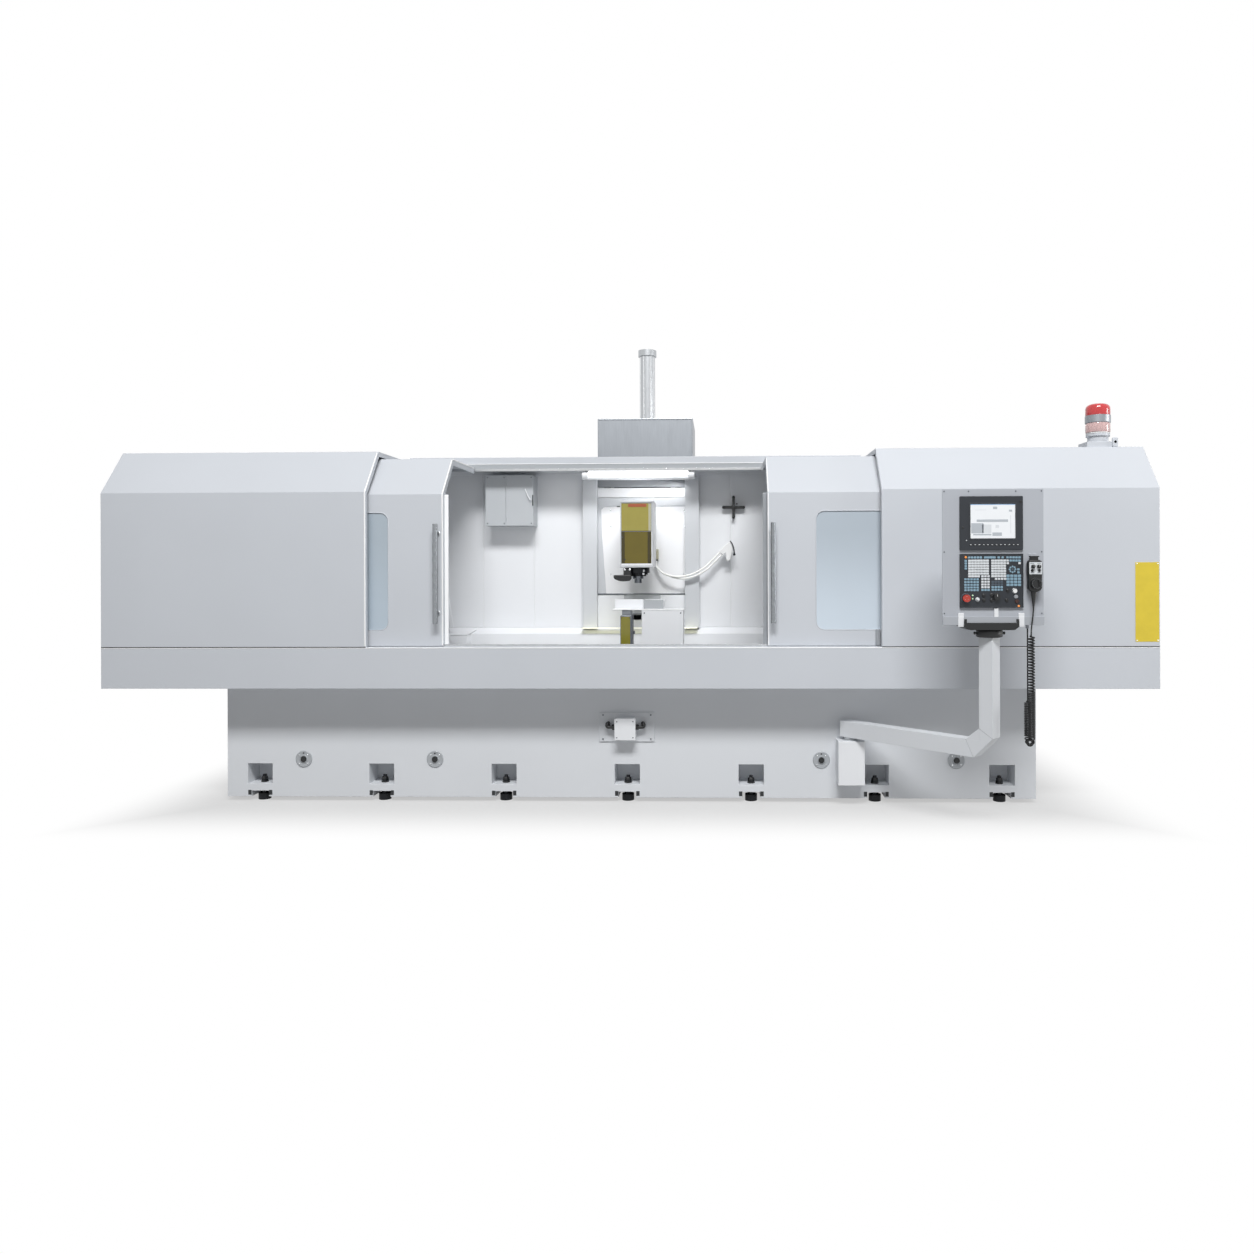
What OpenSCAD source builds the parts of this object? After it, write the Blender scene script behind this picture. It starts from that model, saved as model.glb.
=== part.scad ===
// Profile grinding machine: a long hollow bed on levelling feet, a drip tray with an enclosure
// of two fixed covers and two sliding doors, a hydraulic table, a rear column with a vertical
// carriage and a spindle ram, and a control pendant on a swinging arm.
// Machine frame: X to the right, Y to the back from the front plane of the tray sill, Z up
// from the floor. place() moves it so that the origin is under the middle of the footprint.

/* [Enclosure] */
// Length of the sill, the tray and the whole enclosure
enclosure_len = 6350; // [6100:10:6700]
// Depth from the front plane of the sill to the back of the rear wall
enclosure_depth = 1054; // [1050:1:1058]
// Height of the break between the front and the slope of a cover
cover_break_z = 1926; // [1922:1:1960]
// Height of the cover roofs
cover_roof_z = 2195; // [2185:1:2220]
// Horizontal run of the slope of a cover
cover_slope_run = 212; // [200:1:230]
// Length of the left cover
left_cover_len = 1624; // [1600:1:1660]
// Length of the right cover
right_cover_len = 1630; // [1600:1:1660]
// Thickness of the enclosure sheets
sheet_t = 4; // [2:0.5:5]
// Depth of the edge ribs of covers
cover_rib = 30; // [20:1:34]

/* [Sill and tray] */
// Height of the top face of the sill
sill_top_z = 987.5; // [980:0.5:990]
// Height of the underside of the sill
sill_bottom_z = 739; // [730:1:745]
// Depth of the hollow sill
sill_depth = 110; // [100:1:130]
// Distance from the front plane to the face of the ledge behind the table
ledge_front = 950; // [930:1:960]
// Height of the front edge of the ledge
ledge_low_z = 1003; // [1000:1:1010]
// Height of the ledge where it meets the rear wall
ledge_high_z = 1040; // [1030:1:1050]
// Width of the door track
track_w = 10; // [8:1:14]
// Height of the door track
track_h = 12; // [8:1:20]

/* [Doors] */
// Width of each sliding door
door_w = 1620; // [1560:1:1650]
// Distance from the front plane to the front face of the doors
door_setback = 60; // [55:1:66]
// Height of the break of the doors
door_break_z = 1915; // [1900:1:1918]
// Height of the roof of the doors
door_roof_z = 2154; // [2140:1:2156]
// Horizontal run of the slope of a door
door_slope_run = 210; // [190:1:220]
// Free edge of the left door to the middle of the machine
left_door_edge = 1101; // [900:1:1200]
// Free edge of the right door to the middle of the machine
right_door_edge = 871; // [800:1:1100]
// Depth of the ribs along the door ends
door_rib = 40; // [30:1:60]
// Width of the sealing flange on the free edge
door_flange = 26; // [15:1:40]
// Length of a door window
window_len = 960; // [800:10:1000]
// Height of a door window
window_h = 716; // [600:1:760]
// Height of the lower edge of the door windows
window_z = 1087; // [1070:1:1100]
// Corner radius of a door window
window_r = 50; // [20:1:80]
// Free edge of the left door to its window
left_window_inset = 334; // [250:1:380]
// Free edge of the right door to its window
right_window_inset = 291; // [250:1:380]
// Thickness of the window panes
pane_t = 5; // [3:0.5:8]
// Overlap of a pane behind its frame
pane_lap = 18; // [10:1:25]
// Diameter of the door handles
handle_d = 30; // [20:1:34]
// Length of the door handles
handle_len = 602; // [500:1:700]
// Height of the lower end of the door handles
handle_z = 1129; // [1100:1:1160]
// Distance of a handle from the free edge of its door
handle_inset = 32; // [25:1:60]
// Clear space behind a handle
handle_gap = 34; // [28:1:40]

/* [Bed] */
// Length of the bed casting
bed_len = 5066; // [5000:2:5200]
// Distance from the front plane to the front of the bed
bed_front = 250; // [230:1:270]
// Depth of the long front part of the bed
bed_depth = 750; // [740:1:760]
// Height of the underside of the bed
bed_bottom_z = 27; // [20:1:40]
// Height of the top of the bed
bed_top_z = 760; // [755:1:770]
// Wall thickness of the castings
cast_wall = 35; // [25:1:45]
// Height of the top of the base under the column
base_top_z = 700; // [690:1:720]
// Width of the base under the column
base_w = 1040; // [960:10:1100]
// Number of feet along the front
front_feet = 7; // [5:1:7]
// Distance between neighbouring feet
foot_pitch = 775; // [700:5:790]
// Width of a foot pocket
pocket_w = 158; // [120:1:180]
// Height of the lower edge of a foot pocket
pocket_z = 107; // [100:1:120]
// Height of a foot pocket
pocket_h = 128; // [100:1:150]
// Depth of a foot pocket
pocket_depth = 150; // [120:1:160]
// Distance from the bed's face to the middle of a foot
foot_inset = 60; // [50:1:80]
// Diameter of a foot pad
foot_pad_d = 76; // [60:1:100]
// Diameter of the foot screws
foot_screw_d = 24; // [16:1:30]
// Outer diameter of the lifting bar flanges
flange_d = 107; // [90:1:130]
// Height of the middle of the lifting bar flanges
flange_z = 264; // [255:1:300]

/* [Table] */
// Length of the work table
table_len = 2500; // [2300:10:2540]
// Width of the work table
table_w = 500; // [480:1:520]
// Thickness of the work table
table_t = 100; // [90:1:110]
// Width of the mouth of a T-slot
slot_mouth = 22; // [14:1:24]
// Depth of the mouth of a T-slot
slot_mouth_depth = 26; // [18:1:30]
// Width of the foot of a T-slot
slot_foot = 38; // [32:1:44]
// Height of the foot of a T-slot
slot_foot_h = 16; // [12:1:20]
// Distance between the T-slots
slot_pitch = 150; // [120:1:160]
// Height of the guide ways above the bed
way_h = 40; // [38:1:50]
// Width of a guide way
way_w = 80; // [60:1:100]
// Distance between the two guide ways
way_pitch = 350; // [340:1:360]
// Height of the ridge on the front guide way
way_ridge = 25; // [15:1:30]
// Outer diameter of the table cylinder
table_cyl_d = 84; // [80:1:88]
// Bore of the table cylinder
table_cyl_bore = 64; // [56:1:66]
// Diameter of the fixed rod of the table drive
table_rod_d = 36; // [30:1:40]

/* [Column and carriage] */
// Sideways place of the column's middle
column_x = 30; // [20:1:40]
// Width of the column
column_w = 740; // [730:1:760]
// Depth of the column
column_depth = 920; // [900:1:940]
// Distance from the front plane to the face of the column
column_front = 1130; // [1128:1:1134]
// Height of the top of the column
column_top_z = 2240; // [2230:1:2260]
// Width of the slot in the column's face
column_slot_w = 320; // [316:1:330]
// Width of a guide rail on the column
rail_w = 50; // [40:1:54]
// Thickness of a guide rail on the column
rail_t = 26; // [20:1:26]
// Distance between the two guide rails
rail_pitch = 510; // [500:1:516]
// Width of the carriage plate
carriage_w = 670; // [660:1:680]
// Height of the lower edge of the carriage plate
carriage_z = 1274; // [1272:1:1290]
// Height of the carriage plate
carriage_h = 636; // [630:1:640]
// Thickness of the carriage plate
carriage_t = 40; // [36:1:42]
// Clear gap of the sliding guides
slide_gap = 0.3; // [0.1:0.1:0.5]
// Clear radial gap of shafts and rods in their bores
running_gap = 0.05; // [0.02:0.01:0.1]
// Width of the ram
ram_w = 140; // [120:1:150]
// Height of the ram
ram_h = 360; // [320:1:370]
// Distance from the front plane to the front of the spindle head
head_front = 620; // [615:1:640]
// Width of the spindle head
head_w = 220; // [210:1:224]
// Height of the lower face of the spindle head
head_z = 1466; // [1460:1:1470]
// Height of the spindle head
head_h = 445; // [440:1:450]
// Depth of the spindle head
head_depth = 280; // [270:1:284]
// Diameter of the spindle nose that takes a wheel
nose_d = 50; // [40:1:60]
// Length of the spindle nose
nose_len = 30; // [24:1:34]
// Diameter of the spindle flange
spindle_flange_d = 156; // [140:1:170]

/* [Column top] */
// Width of the box on the column
top_box_w = 709; // [690:1:720]
// Depth of the box on the column
top_box_depth = 620; // [600:1:640]
// Height of the box on the column
top_box_h = 338; // [320:1:350]
// Outer diameter of the lift cylinder
lift_tube_d = 118; // [114:1:124]
// Bore of the lift cylinder
lift_bore = 98; // [90:1:104]
// Diameter of the cap on the lift cylinder
lift_cap_d = 140; // [130:1:150]
// Height of the cap on the lift cylinder
lift_cap_h = 46; // [40:1:60]
// Height of the top of the lift cylinder
lift_top_z = 3135; // [3130:1:3160]
// Diameter of the lift rod
lift_rod_d = 56; // [48:1:60]

/* [Pendant arm] */
// Sideways place of the arm's pivot
pivot_x = 1379; // [1370:1:1390]
// Length of the arm from the pivot to the post
arm_len = 930; // [900:1:960]
// Angle of the arm away from the bed's face
arm_angle = 44.7; // [42:0.1:48]
// Width of the arm tube
arm_w = 80; // [70:1:90]
// Height of the arm tube
arm_h = 96; // [80:1:100]
// Height of the underside of the arm
arm_z = 423; // [420:1:430]
// Wall of the arm tube
arm_wall = 6; // [4:0.5:8]
// Height of the top of the post
post_top_z = 1079; // [1070:1:1090]
// Diameter of the arm's pivot pin
pivot_d = 50; // [40:1:56]

/* [Pendant] */
// Width of the front plate
plate_w = 536; // [530:1:560]
// Height of the front plate
plate_h = 726; // [720:1:740]
// Height of the lower edge of the front plate
plate_z = 1150; // [1148:1:1160]
// Depth of the cabinet behind the plate
cabinet_depth = 130; // [120:1:140]
// Width of the display and of the operator panel
panel_w = 334; // [330:1:336]
// Height of the display unit
display_h = 288; // [280:1:292]
// Height of the operator panel
operator_h = 287; // [280:1:290]
// Thickness of both panels in front of the plate
panel_t = 12; // [10:1:16]
// Diameter of the emergency stop button
estop_d = 40; // [36:1:44]
// Travel of the emergency stop button
estop_travel = 5; // [3:0.5:6]
// Diameter of the start button
start_d = 22; // [18:1:24]
// Travel of the start button
start_travel = 3; // [2:0.5:4]
// Diameter of the override knob
override_d = 34; // [28:1:36]
// Width of the handset
handset_w = 80; // [76:1:84]
// Height of the handset
handset_h = 190; // [184:1:196]
// Thickness of the handset
handset_t = 46; // [40:1:50]
// Diameter of the handset's wheel
wheel_d = 56; // [50:1:58]

/* [Curly cord] */
// Diameter of the handset's cord
cord_d = 8; // [6:0.5:8]
// Outer diameter of the curls
curl_outer_d = 38; // [36:1:40]
// Curls in the loose upper stretch
loose_curls = 20; // [18:1:20]
// Curls in the dense lower stretch
dense_curls = 27; // [24:1:27]
// Curls in the turn at the bottom
turn_curls = 5; // [4:1:5]
// Curls in the stretch that comes back up
return_curls = 21; // [18:1:21]

/* [Hidden] */
$fn = 48;

paint = [0.80, 0.82, 0.85];
white_paint = [0.92, 0.93, 0.94];
steel = [0.68, 0.69, 0.71];
dark = [0.12, 0.12, 0.13];
amber = [0.62, 0.58, 0.22];
window_blue = [0.72, 0.78, 0.84];

half_len = enclosure_len / 2;
rear_wall_front = enclosure_depth - sheet_t;
left_opening_x = -half_len + left_cover_len;
right_opening_x = half_len - right_cover_len;

module place() {
    translate([0, front_plane_y, 0]) children();
}

// A box from its low corner to its high corner
module span(a, b) {
    translate(a) cube(b - a);
}

// A profile in the Y-Z plane drawn out along X from x0 to x1
module along_x(x0, x1) {
    translate([x0, 0, 0]) rotate([90, 0, 90]) linear_extrude(x1 - x0) children();
}

// A cylinder along Y that starts at the point p and runs to the back
module rod_y(p, d, len) {
    translate(p) rotate([-90, 0, 0]) cylinder(d = d, h = len);
}

// A cylinder along X that starts at the point p
module rod_x(p, d, len) {
    translate(p) rotate([0, 90, 0]) cylinder(d = d, h = len);
}

// A rectangle with round corners, from its low corner
module round_rect(w, h, r) {
    union() {
        translate([r, 0]) square([w - 2 * r, h]);
        translate([0, r]) square([w, h - 2 * r]);
        for (x = [r, w - r], y = [r, h - r]) translate([x, y]) circle(r);
    }
}

// A plate in the X-Z plane with round corners and its front face at p
module round_plate(p, w, h, t, r) {
    translate([p[0], p[1] + t, p[2]]) rotate([90, 0, 0]) linear_extrude(t) round_rect(w, h, r);
}

// Bed
bed_back = bed_front + bed_depth;
base_back = column_front + column_depth + 50;
base_x0 = column_x - base_w / 2;
base_x1 = column_x + base_w / 2;
notch_w = 112;
notch_h = 36;
bar_bottom_z = bed_bottom_z + notch_h;
foot_pad_h = 40;
// Depth of the trough along the bed that the table drive lies in, and its width
trough_depth = 60;
trough_w = 120;
trough_floor_z = bed_top_z - trough_depth;
table_mid = 650;

module at_front_feet() {
    for (i = [0 : front_feet - 1])
        translate([(i - (front_feet - 1) / 2) * foot_pitch, bed_front, 0]) children();
}

// The feet along the back leave out those that the column's base would hide
module at_rear_feet() {
    for (i = [0 : front_feet - 1]) {
        x = (i - (front_feet - 1) / 2) * foot_pitch;
        if (abs(x - column_x) > base_w / 2 + pocket_w / 2)
            translate([x, bed_back, 0]) rotate(180) children();
    }
}

module at_base_feet() {
    for (y = [bed_back + 250, base_back - 140]) {
        translate([base_x1, y, 0]) rotate(90) children();
        translate([base_x0, y, 0]) rotate(-90) children();
    }
}

module at_feet() {
    at_front_feet() children();
    at_rear_feet() children();
    at_base_feet() children();
}

// Space of one foot: the pocket, the notch for the pad and the bore between them
module foot_space() {
    span([-pocket_w / 2, -1, pocket_z], [pocket_w / 2, pocket_depth, pocket_z + pocket_h]);
    span([-notch_w / 2, -1, bed_bottom_z - 1], [notch_w / 2, pocket_depth, bar_bottom_z]);
    translate([0, foot_inset, bed_bottom_z]) cylinder(d = foot_screw_d + 1, h = pocket_z);
}

// Closed hollows of the casting between the feet and under the column
module bed_hollows() {
    low = bed_bottom_z + cast_wall;
    high = trough_floor_z - cast_wall;
    side = pocket_w / 2 + cast_wall;
    for (i = [0 : front_feet - 1]) {
        x = (i - (front_feet - 1) / 2) * foot_pitch;
        span([x - side + cast_wall, bed_front + pocket_depth + cast_wall, low],
             [x + side - cast_wall, bed_back - pocket_depth - cast_wall, high]);
        if (i < front_feet - 1)
            span([x + side, bed_front + cast_wall, low],
                 [x + foot_pitch - side, bed_back - cast_wall, high]);
    }
    for (s = [-1, 1]) translate([column_x, 0, 0]) mirror([s < 0 ? 1 : 0, 0, 0])
        span([cast_wall / 2, bed_back + cast_wall, low],
             [base_w / 2 - pocket_depth - cast_wall, base_back - cast_wall, base_top_z - cast_wall]);
}

module bed_casting() {
    color(paint) difference() {
        union() {
            span([-bed_len / 2, bed_front, bed_bottom_z], [bed_len / 2, bed_back, bed_top_z]);
            span([base_x0, bed_back - 1, bed_bottom_z], [base_x1, base_back, base_top_z]);
        }
        span([-bed_len / 2 - 1, table_mid - trough_w / 2, trough_floor_z],
             [bed_len / 2 + 1, table_mid + trough_w / 2, bed_top_z + 1]);
        at_feet() foot_space();
        bed_hollows();
    }
}

module leveling_feet() {
    color(dark) at_feet() translate([0, foot_inset, 0]) {
        cylinder(d = foot_pad_d, h = foot_pad_h);
        translate([0, 0, foot_pad_h]) cylinder(d = foot_screw_d + 18, h = bar_bottom_z - foot_pad_h);
        translate([0, 0, bar_bottom_z]) cylinder(d = foot_screw_d, h = pocket_z + 48 - bar_bottom_z);
        translate([0, 0, pocket_z]) cylinder(d = foot_screw_d + 20, h = 20, $fn = 6);
    }
}

way_front = table_mid - way_pitch / 2;
way_rear = table_mid + way_pitch / 2;
way_top_z = bed_top_z + way_h;
table_z = way_top_z + slide_gap;
rail_z0 = 1000;
rail_z1 = 2200;

// Ridge of the front guide way, raised by lift
module ridge(lift) {
    polygon([[way_front - way_w / 2, way_top_z + lift], [way_front + way_w / 2, way_top_z + lift],
             [way_front, way_top_z + lift + way_ridge]]);
}

module guide_ways() {
    color(steel) {
        along_x(-bed_len / 2 + 30, bed_len / 2 - 30) {
            translate([way_front - way_w / 2, bed_top_z]) square([way_w, way_h]);
            ridge(0);
        }
        along_x(-bed_len / 2 + 30, bed_len / 2 - 30)
            translate([way_rear - way_w / 2, bed_top_z]) square([way_w, way_h]);
        for (s = [-1, 1]) translate([column_x + s * rail_pitch / 2 - rail_w / 2, 0, 0])
            span([0, column_front - rail_t, rail_z0], [rail_w, column_front, rail_z1]);
    }
}

// Lifting bar sockets on the bed's front, each a flange with a round plug and four screws
module lifting_bar_flanges() {
    flange_t = 6;
    plug_d = 34;
    inner_x = bed_len / 4 - 56;
    outer_x = inner_x + 834;
    color(white_paint) for (x = [-outer_x, -inner_x, inner_x, outer_x])
        translate([x, bed_front - flange_t, flange_z]) {
            rotate([-90, 0, 0]) cylinder(d = flange_d, h = flange_t);
            rod_y([0, -14, 0], plug_d, 14);
            for (a = [45 : 90 : 315])
                rod_y([flange_d * 0.36 * cos(a), -3, flange_d * 0.36 * sin(a)], 9, 3);
        }
}

// Cable entry on the bed's front: a plate, a box on it and an elbow at each side
module bed_cable_box() {
    plate_front_y = bed_front - 8;
    box_x0 = -70;
    box_x1 = 58;
    box_y = bed_front - 80;
    elbow_d = 26;
    elbow_y = bed_front - 44;
    elbow_z = 478;
    elbow_len = 42;
    corner = 32;
    color(white_paint) {
        span([-173, plate_front_y, 378], [172, bed_front, 560]);
        span([box_x0, box_y, 398], [box_x1, plate_front_y, 531]);
        for (x = [box_x0 - elbow_len, box_x1]) {
            rod_x([x - 1, elbow_y, elbow_z], elbow_d, elbow_len + 2);
            rod_x([x + 14, elbow_y, elbow_z], elbow_d + 10, 14);
        }
        for (x = [box_x0 - elbow_len - corner / 2, box_x1 + elbow_len + corner / 2]) {
            span([x - corner / 2, elbow_y - corner / 2, elbow_z - corner / 2],
                 [x + corner / 2, elbow_y + corner / 2, elbow_z + corner / 2]);
            rod_y([x, elbow_y, elbow_z], elbow_d, bed_front - 8 - elbow_y);
        }
    }
}

// Sill, tray and enclosure
tray_floor_z = sill_bottom_z + 1;
door_bottom_z = sill_top_z + 3;

// Corner points of a sheet that runs up the front, over the slope and along the roof, with
// t the distance inside the outer face: the corners move along the halving lines.
function sheet_path(y0, z0, brk, roof, run, back, t) =
    let (slope = atan((roof - brk) / run))
    [[y0 + t, z0], [y0 + t, brk - t * tan((90 - slope) / 2)],
     [y0 + run + t * tan(slope / 2), roof - t], [back, roof - t]];

function reversed(list) = [for (i = [len(list) - 1 : -1 : 0]) list[i]];

// The strip between the depths t0 and t1 of such a sheet, in the Y-Z plane
module sheet_strip(y0, z0, brk, roof, run, back, t0, t1) {
    polygon(concat(sheet_path(y0, z0, brk, roof, run, back, t0),
                   reversed(sheet_path(y0, z0, brk, roof, run, back, t1))));
}

module cover_strip(t0, t1, z0) {
    sheet_strip(0, z0, cover_break_z, cover_roof_z, cover_slope_run, enclosure_depth, t0, t1);
}

module front_apron() {
    color(paint) difference() {
        span([-half_len, 0, sill_bottom_z], [half_len, sill_depth, sill_top_z]);
        span([-half_len + sheet_t, sheet_t, sill_bottom_z + sheet_t],
             [half_len - sheet_t, sill_depth - sheet_t, sill_top_z - sheet_t]);
    }
}

module trough_tray() {
    floor_top = tray_floor_z + sheet_t;
    color(paint) {
        difference() {
            span([-half_len, sill_depth, tray_floor_z], [half_len, enclosure_depth, floor_top]);
            span([-bed_len / 2, bed_front, tray_floor_z - 1],
                 [bed_len / 2, bed_back, floor_top + 1]);
        }
        span([-half_len, rear_wall_front, tray_floor_z], [half_len, enclosure_depth, sill_top_z]);
        for (x = [-half_len, half_len - sheet_t])
            span([x, sill_depth, tray_floor_z], [x + sheet_t, enclosure_depth, sill_top_z]);
        along_x(-half_len + sheet_t, half_len - sheet_t)
            polygon([[ledge_front, bed_top_z], [ledge_front + sheet_t, bed_top_z],
                     [ledge_front + sheet_t, ledge_low_z - sheet_t / 2],
                     [rear_wall_front, ledge_high_z - sheet_t],
                     [rear_wall_front, ledge_high_z], [ledge_front, ledge_low_z]]);
    }
}

// One fixed cover: x_open is its open end beside the doors, x_end its closed outer end
module cover(x_open, x_end) {
    x0 = min(x_open, x_end);
    x1 = max(x_open, x_end);
    end_x0 = x_end > x_open ? x_end - sheet_t : x_end;
    rib_x0 = x_end > x_open ? x_open : x_open - sheet_t;
    color(paint) {
        along_x(x0, x1) cover_strip(0, sheet_t, sill_top_z);
        span([x0, rear_wall_front, sill_top_z], [x1, enclosure_depth, cover_roof_z]);
        along_x(end_x0, end_x0 + sheet_t) polygon(concat(
            sheet_path(0, sill_top_z, cover_break_z, cover_roof_z, cover_slope_run,
                       enclosure_depth, 0),
            [[enclosure_depth, sill_top_z]]));
        along_x(rib_x0, rib_x0 + sheet_t) cover_strip(0, cover_rib, sill_top_z);
        span([rib_x0, beam_front, beam_z - 40],
             [rib_x0 + sheet_t, enclosure_depth, cover_roof_z]);
    }
}

module left_cover() {
    cover(left_opening_x, -half_len);
}

module right_cover() {
    cover(right_opening_x, half_len);
}

beam_front = 800;
beam_depth = 80;
beam_z = 2137;
beam_h = 89;
centre_roof_z = 2186;
wall_opening_z0 = carriage_z - 4;
wall_opening_z1 = 2110;
wall_opening_w = carriage_w + 40;
// Notch below the opening that lets the ram and the hose manifold come down
ram_notch_w = 260;
ram_notch_h = 176;
star_x = 681;
star_z = 1891;
star_shaft_d = 20;

module rear_wall() {
    color(white_paint) difference() {
        span([left_opening_x, rear_wall_front, sill_top_z],
             [right_opening_x, enclosure_depth, centre_roof_z]);
        span([column_x - wall_opening_w / 2, rear_wall_front - 1, wall_opening_z0],
             [column_x + wall_opening_w / 2, enclosure_depth + 1, wall_opening_z1]);
        span([column_x - ram_notch_w / 2, rear_wall_front - 1, wall_opening_z0 - ram_notch_h],
             [column_x + ram_notch_w / 2, enclosure_depth + 1, wall_opening_z0 + 1]);
        rod_y([star_x, rear_wall_front - 1, star_z], star_shaft_d + 2 * running_gap, sheet_t + 2);
    }
}

// Hollow beam across the opening, with the middle roof that joins it to the rear wall
module top_beam() {
    color(paint) {
        difference() {
            span([left_opening_x, beam_front, beam_z],
                 [right_opening_x, beam_front + beam_depth, beam_z + beam_h]);
            span([left_opening_x + sheet_t, beam_front + sheet_t, beam_z + sheet_t],
                 [right_opening_x - sheet_t, beam_front + beam_depth - sheet_t,
                  beam_z + beam_h - sheet_t]);
        }
        span([left_opening_x, beam_front + beam_depth, centre_roof_z],
             [right_opening_x, enclosure_depth, centre_roof_z + sheet_t]);
    }
}

track_y = 80;
top_track_h = 16;
top_track_w = 16;
top_track_z = door_roof_z - sheet_t - 4 - top_track_h;

module door_tracks() {
    end_x = half_len - sheet_t;
    color(steel) {
        span([-end_x, track_y, sill_top_z], [end_x, track_y + track_w, sill_top_z + track_h]);
        span([-end_x, beam_front - top_track_w, top_track_z],
             [end_x, beam_front, top_track_z + top_track_h]);
    }
}

pillar_w = 100;
pillar_t = 50;
pillar_top_z = 2103;
guard_mid_x = column_x - 5;
guard_pitch = column_w - 16;

module guard_pillars() {
    front = rear_wall_front - pillar_t;
    color(white_paint) for (s = [-1, 1])
        translate([guard_mid_x + s * guard_pitch / 2 - pillar_w / 2, 0, 0]) difference() {
            span([0, front, ledge_high_z + 1], [pillar_w, rear_wall_front, pillar_top_z]);
            span([sheet_t, front + sheet_t, ledge_high_z],
                 [pillar_w - sheet_t, rear_wall_front + 1, pillar_top_z - sheet_t]);
        }
}

lamp_len = 690;
lamp_x0 = guard_mid_x - lamp_len / 2;
lamp_tube_d = 36;
lamp_tube_y = beam_front + 14;
lamp_tube_z = beam_z - 38;
lamp_end_w = 40;

module work_lamp() {
    color(paint) {
        difference() {
            along_x(lamp_x0, lamp_x0 + lamp_len)
                polygon([[beam_front + 4, beam_z], [beam_front + 4, beam_z - 22],
                         [beam_front + 26, beam_z - 60], [beam_front + 64, beam_z - 64],
                         [beam_front + 72, beam_z - 20], [beam_front + 72, beam_z]]);
            rod_x([lamp_x0 - 1, lamp_tube_y, lamp_tube_z], lamp_tube_d + 1, lamp_len + 2);
        }
        for (x = [lamp_x0 - lamp_end_w, lamp_x0 + lamp_len])
            along_x(x, x + lamp_end_w) union() {
                translate([lamp_tube_y, lamp_tube_z]) circle(d = lamp_tube_d + 18);
                translate([lamp_tube_y - 8, lamp_tube_z]) square([60, beam_z - lamp_tube_z]);
            }
    }
}

module lamp_tube() {
    color([1, 1, 0.97]) rod_x([lamp_x0, lamp_tube_y, lamp_tube_z], lamp_tube_d, lamp_len);
}

// Box on the rear wall with a door in its right part
jbox_x0 = -1053;
jbox_x1 = -718;
jbox_z0 = 1762;
jbox_z1 = 2115;
jbox_front = 904;
jbox_seam_x = -910;
jbox_lid_t = 6;

module junction_box() {
    wall = 3;
    color(white_paint) {
        difference() {
            span([jbox_x0, jbox_front, jbox_z0], [jbox_x1, rear_wall_front, jbox_z1]);
            span([jbox_x0 + wall, jbox_front + wall, jbox_z0 + wall],
                 [jbox_x1 - wall, rear_wall_front - wall, jbox_z1 - wall]);
            span([jbox_seam_x + 20, jbox_front - 1, jbox_z0 + 20],
                 [jbox_x1 - 16, jbox_front + wall + 1, jbox_z1 - 20]);
        }
        span([jbox_x0, jbox_front - jbox_lid_t, jbox_z0],
             [jbox_seam_x - 2, jbox_front, jbox_z1]);
    }
}

module junction_box_door() {
    lid_y = jbox_front - jbox_lid_t - slide_gap;
    hinge_d = 8;
    hinge_len = 50;
    color(white_paint) {
        span([jbox_seam_x + 2, lid_y, jbox_z0], [jbox_x1, lid_y + jbox_lid_t, jbox_z1]);
        rod_y([jbox_x1 - 20, lid_y - 8, (jbox_z0 + jbox_z1) / 2], 18, 8);
        for (z = [jbox_z0 + 40, jbox_z1 - 40 - hinge_len])
            translate([jbox_seam_x + 2, lid_y - 2, z]) cylinder(d = hinge_d, h = hinge_len);
    }
}

// Four-armed grip on a shaft through the rear wall, held by a collar behind it
module star_handle() {
    arm_l = 80;
    arm_t = 20;
    grip_y = rear_wall_front - 40;
    color(dark) {
        for (a = [0 : 90 : 270]) translate([star_x, grip_y, star_z]) rotate([0, a, 0]) {
            span([0, 0, -arm_t / 2], [arm_l - arm_t / 2, arm_t, arm_t / 2]);
            rod_y([arm_l - arm_t / 2, 0, 0], arm_t + 2, arm_t);
        }
        rod_y([star_x, grip_y, star_z], 36, 26);
        rod_y([star_x, grip_y, star_z], star_shaft_d, enclosure_depth + 14 - grip_y);
        rod_y([star_x, enclosure_depth + slide_gap, star_z], star_shaft_d + 16, 10);
    }
}

// Wash gun hung on a post of the rear wall, drawn as an outline in the X-Z plane
gun_x = 650;
gun_y = 956;
gun_z = 1604;
gun_t = 36;

module wash_gun() {
    color(white_paint) {
        translate([gun_x, gun_y + gun_t, gun_z]) rotate([90, 0, 0]) linear_extrude(gun_t)
            polygon([[-72, -22], [-50, 0], [2, 44], [26, 24], [20, -14],
                     [10, -84], [-14, -96], [-24, -84], [-20, -38], [-41, -53]]);
        rod_y([gun_x, gun_y + gun_t, gun_z], 30, rear_wall_front - gun_y - gun_t);
    }
}

// Column, carriage and spindle
column_back = column_front + column_depth;
column_x0 = column_x - column_w / 2;
column_x1 = column_x + column_w / 2;
lift_y = 1580;
carriage_top_z = carriage_z + carriage_h;
plate_back = column_front - rail_t - 4;
plate_front = plate_back - carriage_t;
guide_x = column_slot_w / 2 - 10;
guide_back = lift_y + 60;
ram_z = head_z + (head_h - ram_h) / 2;
guide_z0 = ram_z - 40;
guide_z1 = ram_z + ram_h + 40;
ram_back = 1700;
head_back = head_front + head_depth;
spindle_y = head_front + 100;

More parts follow.
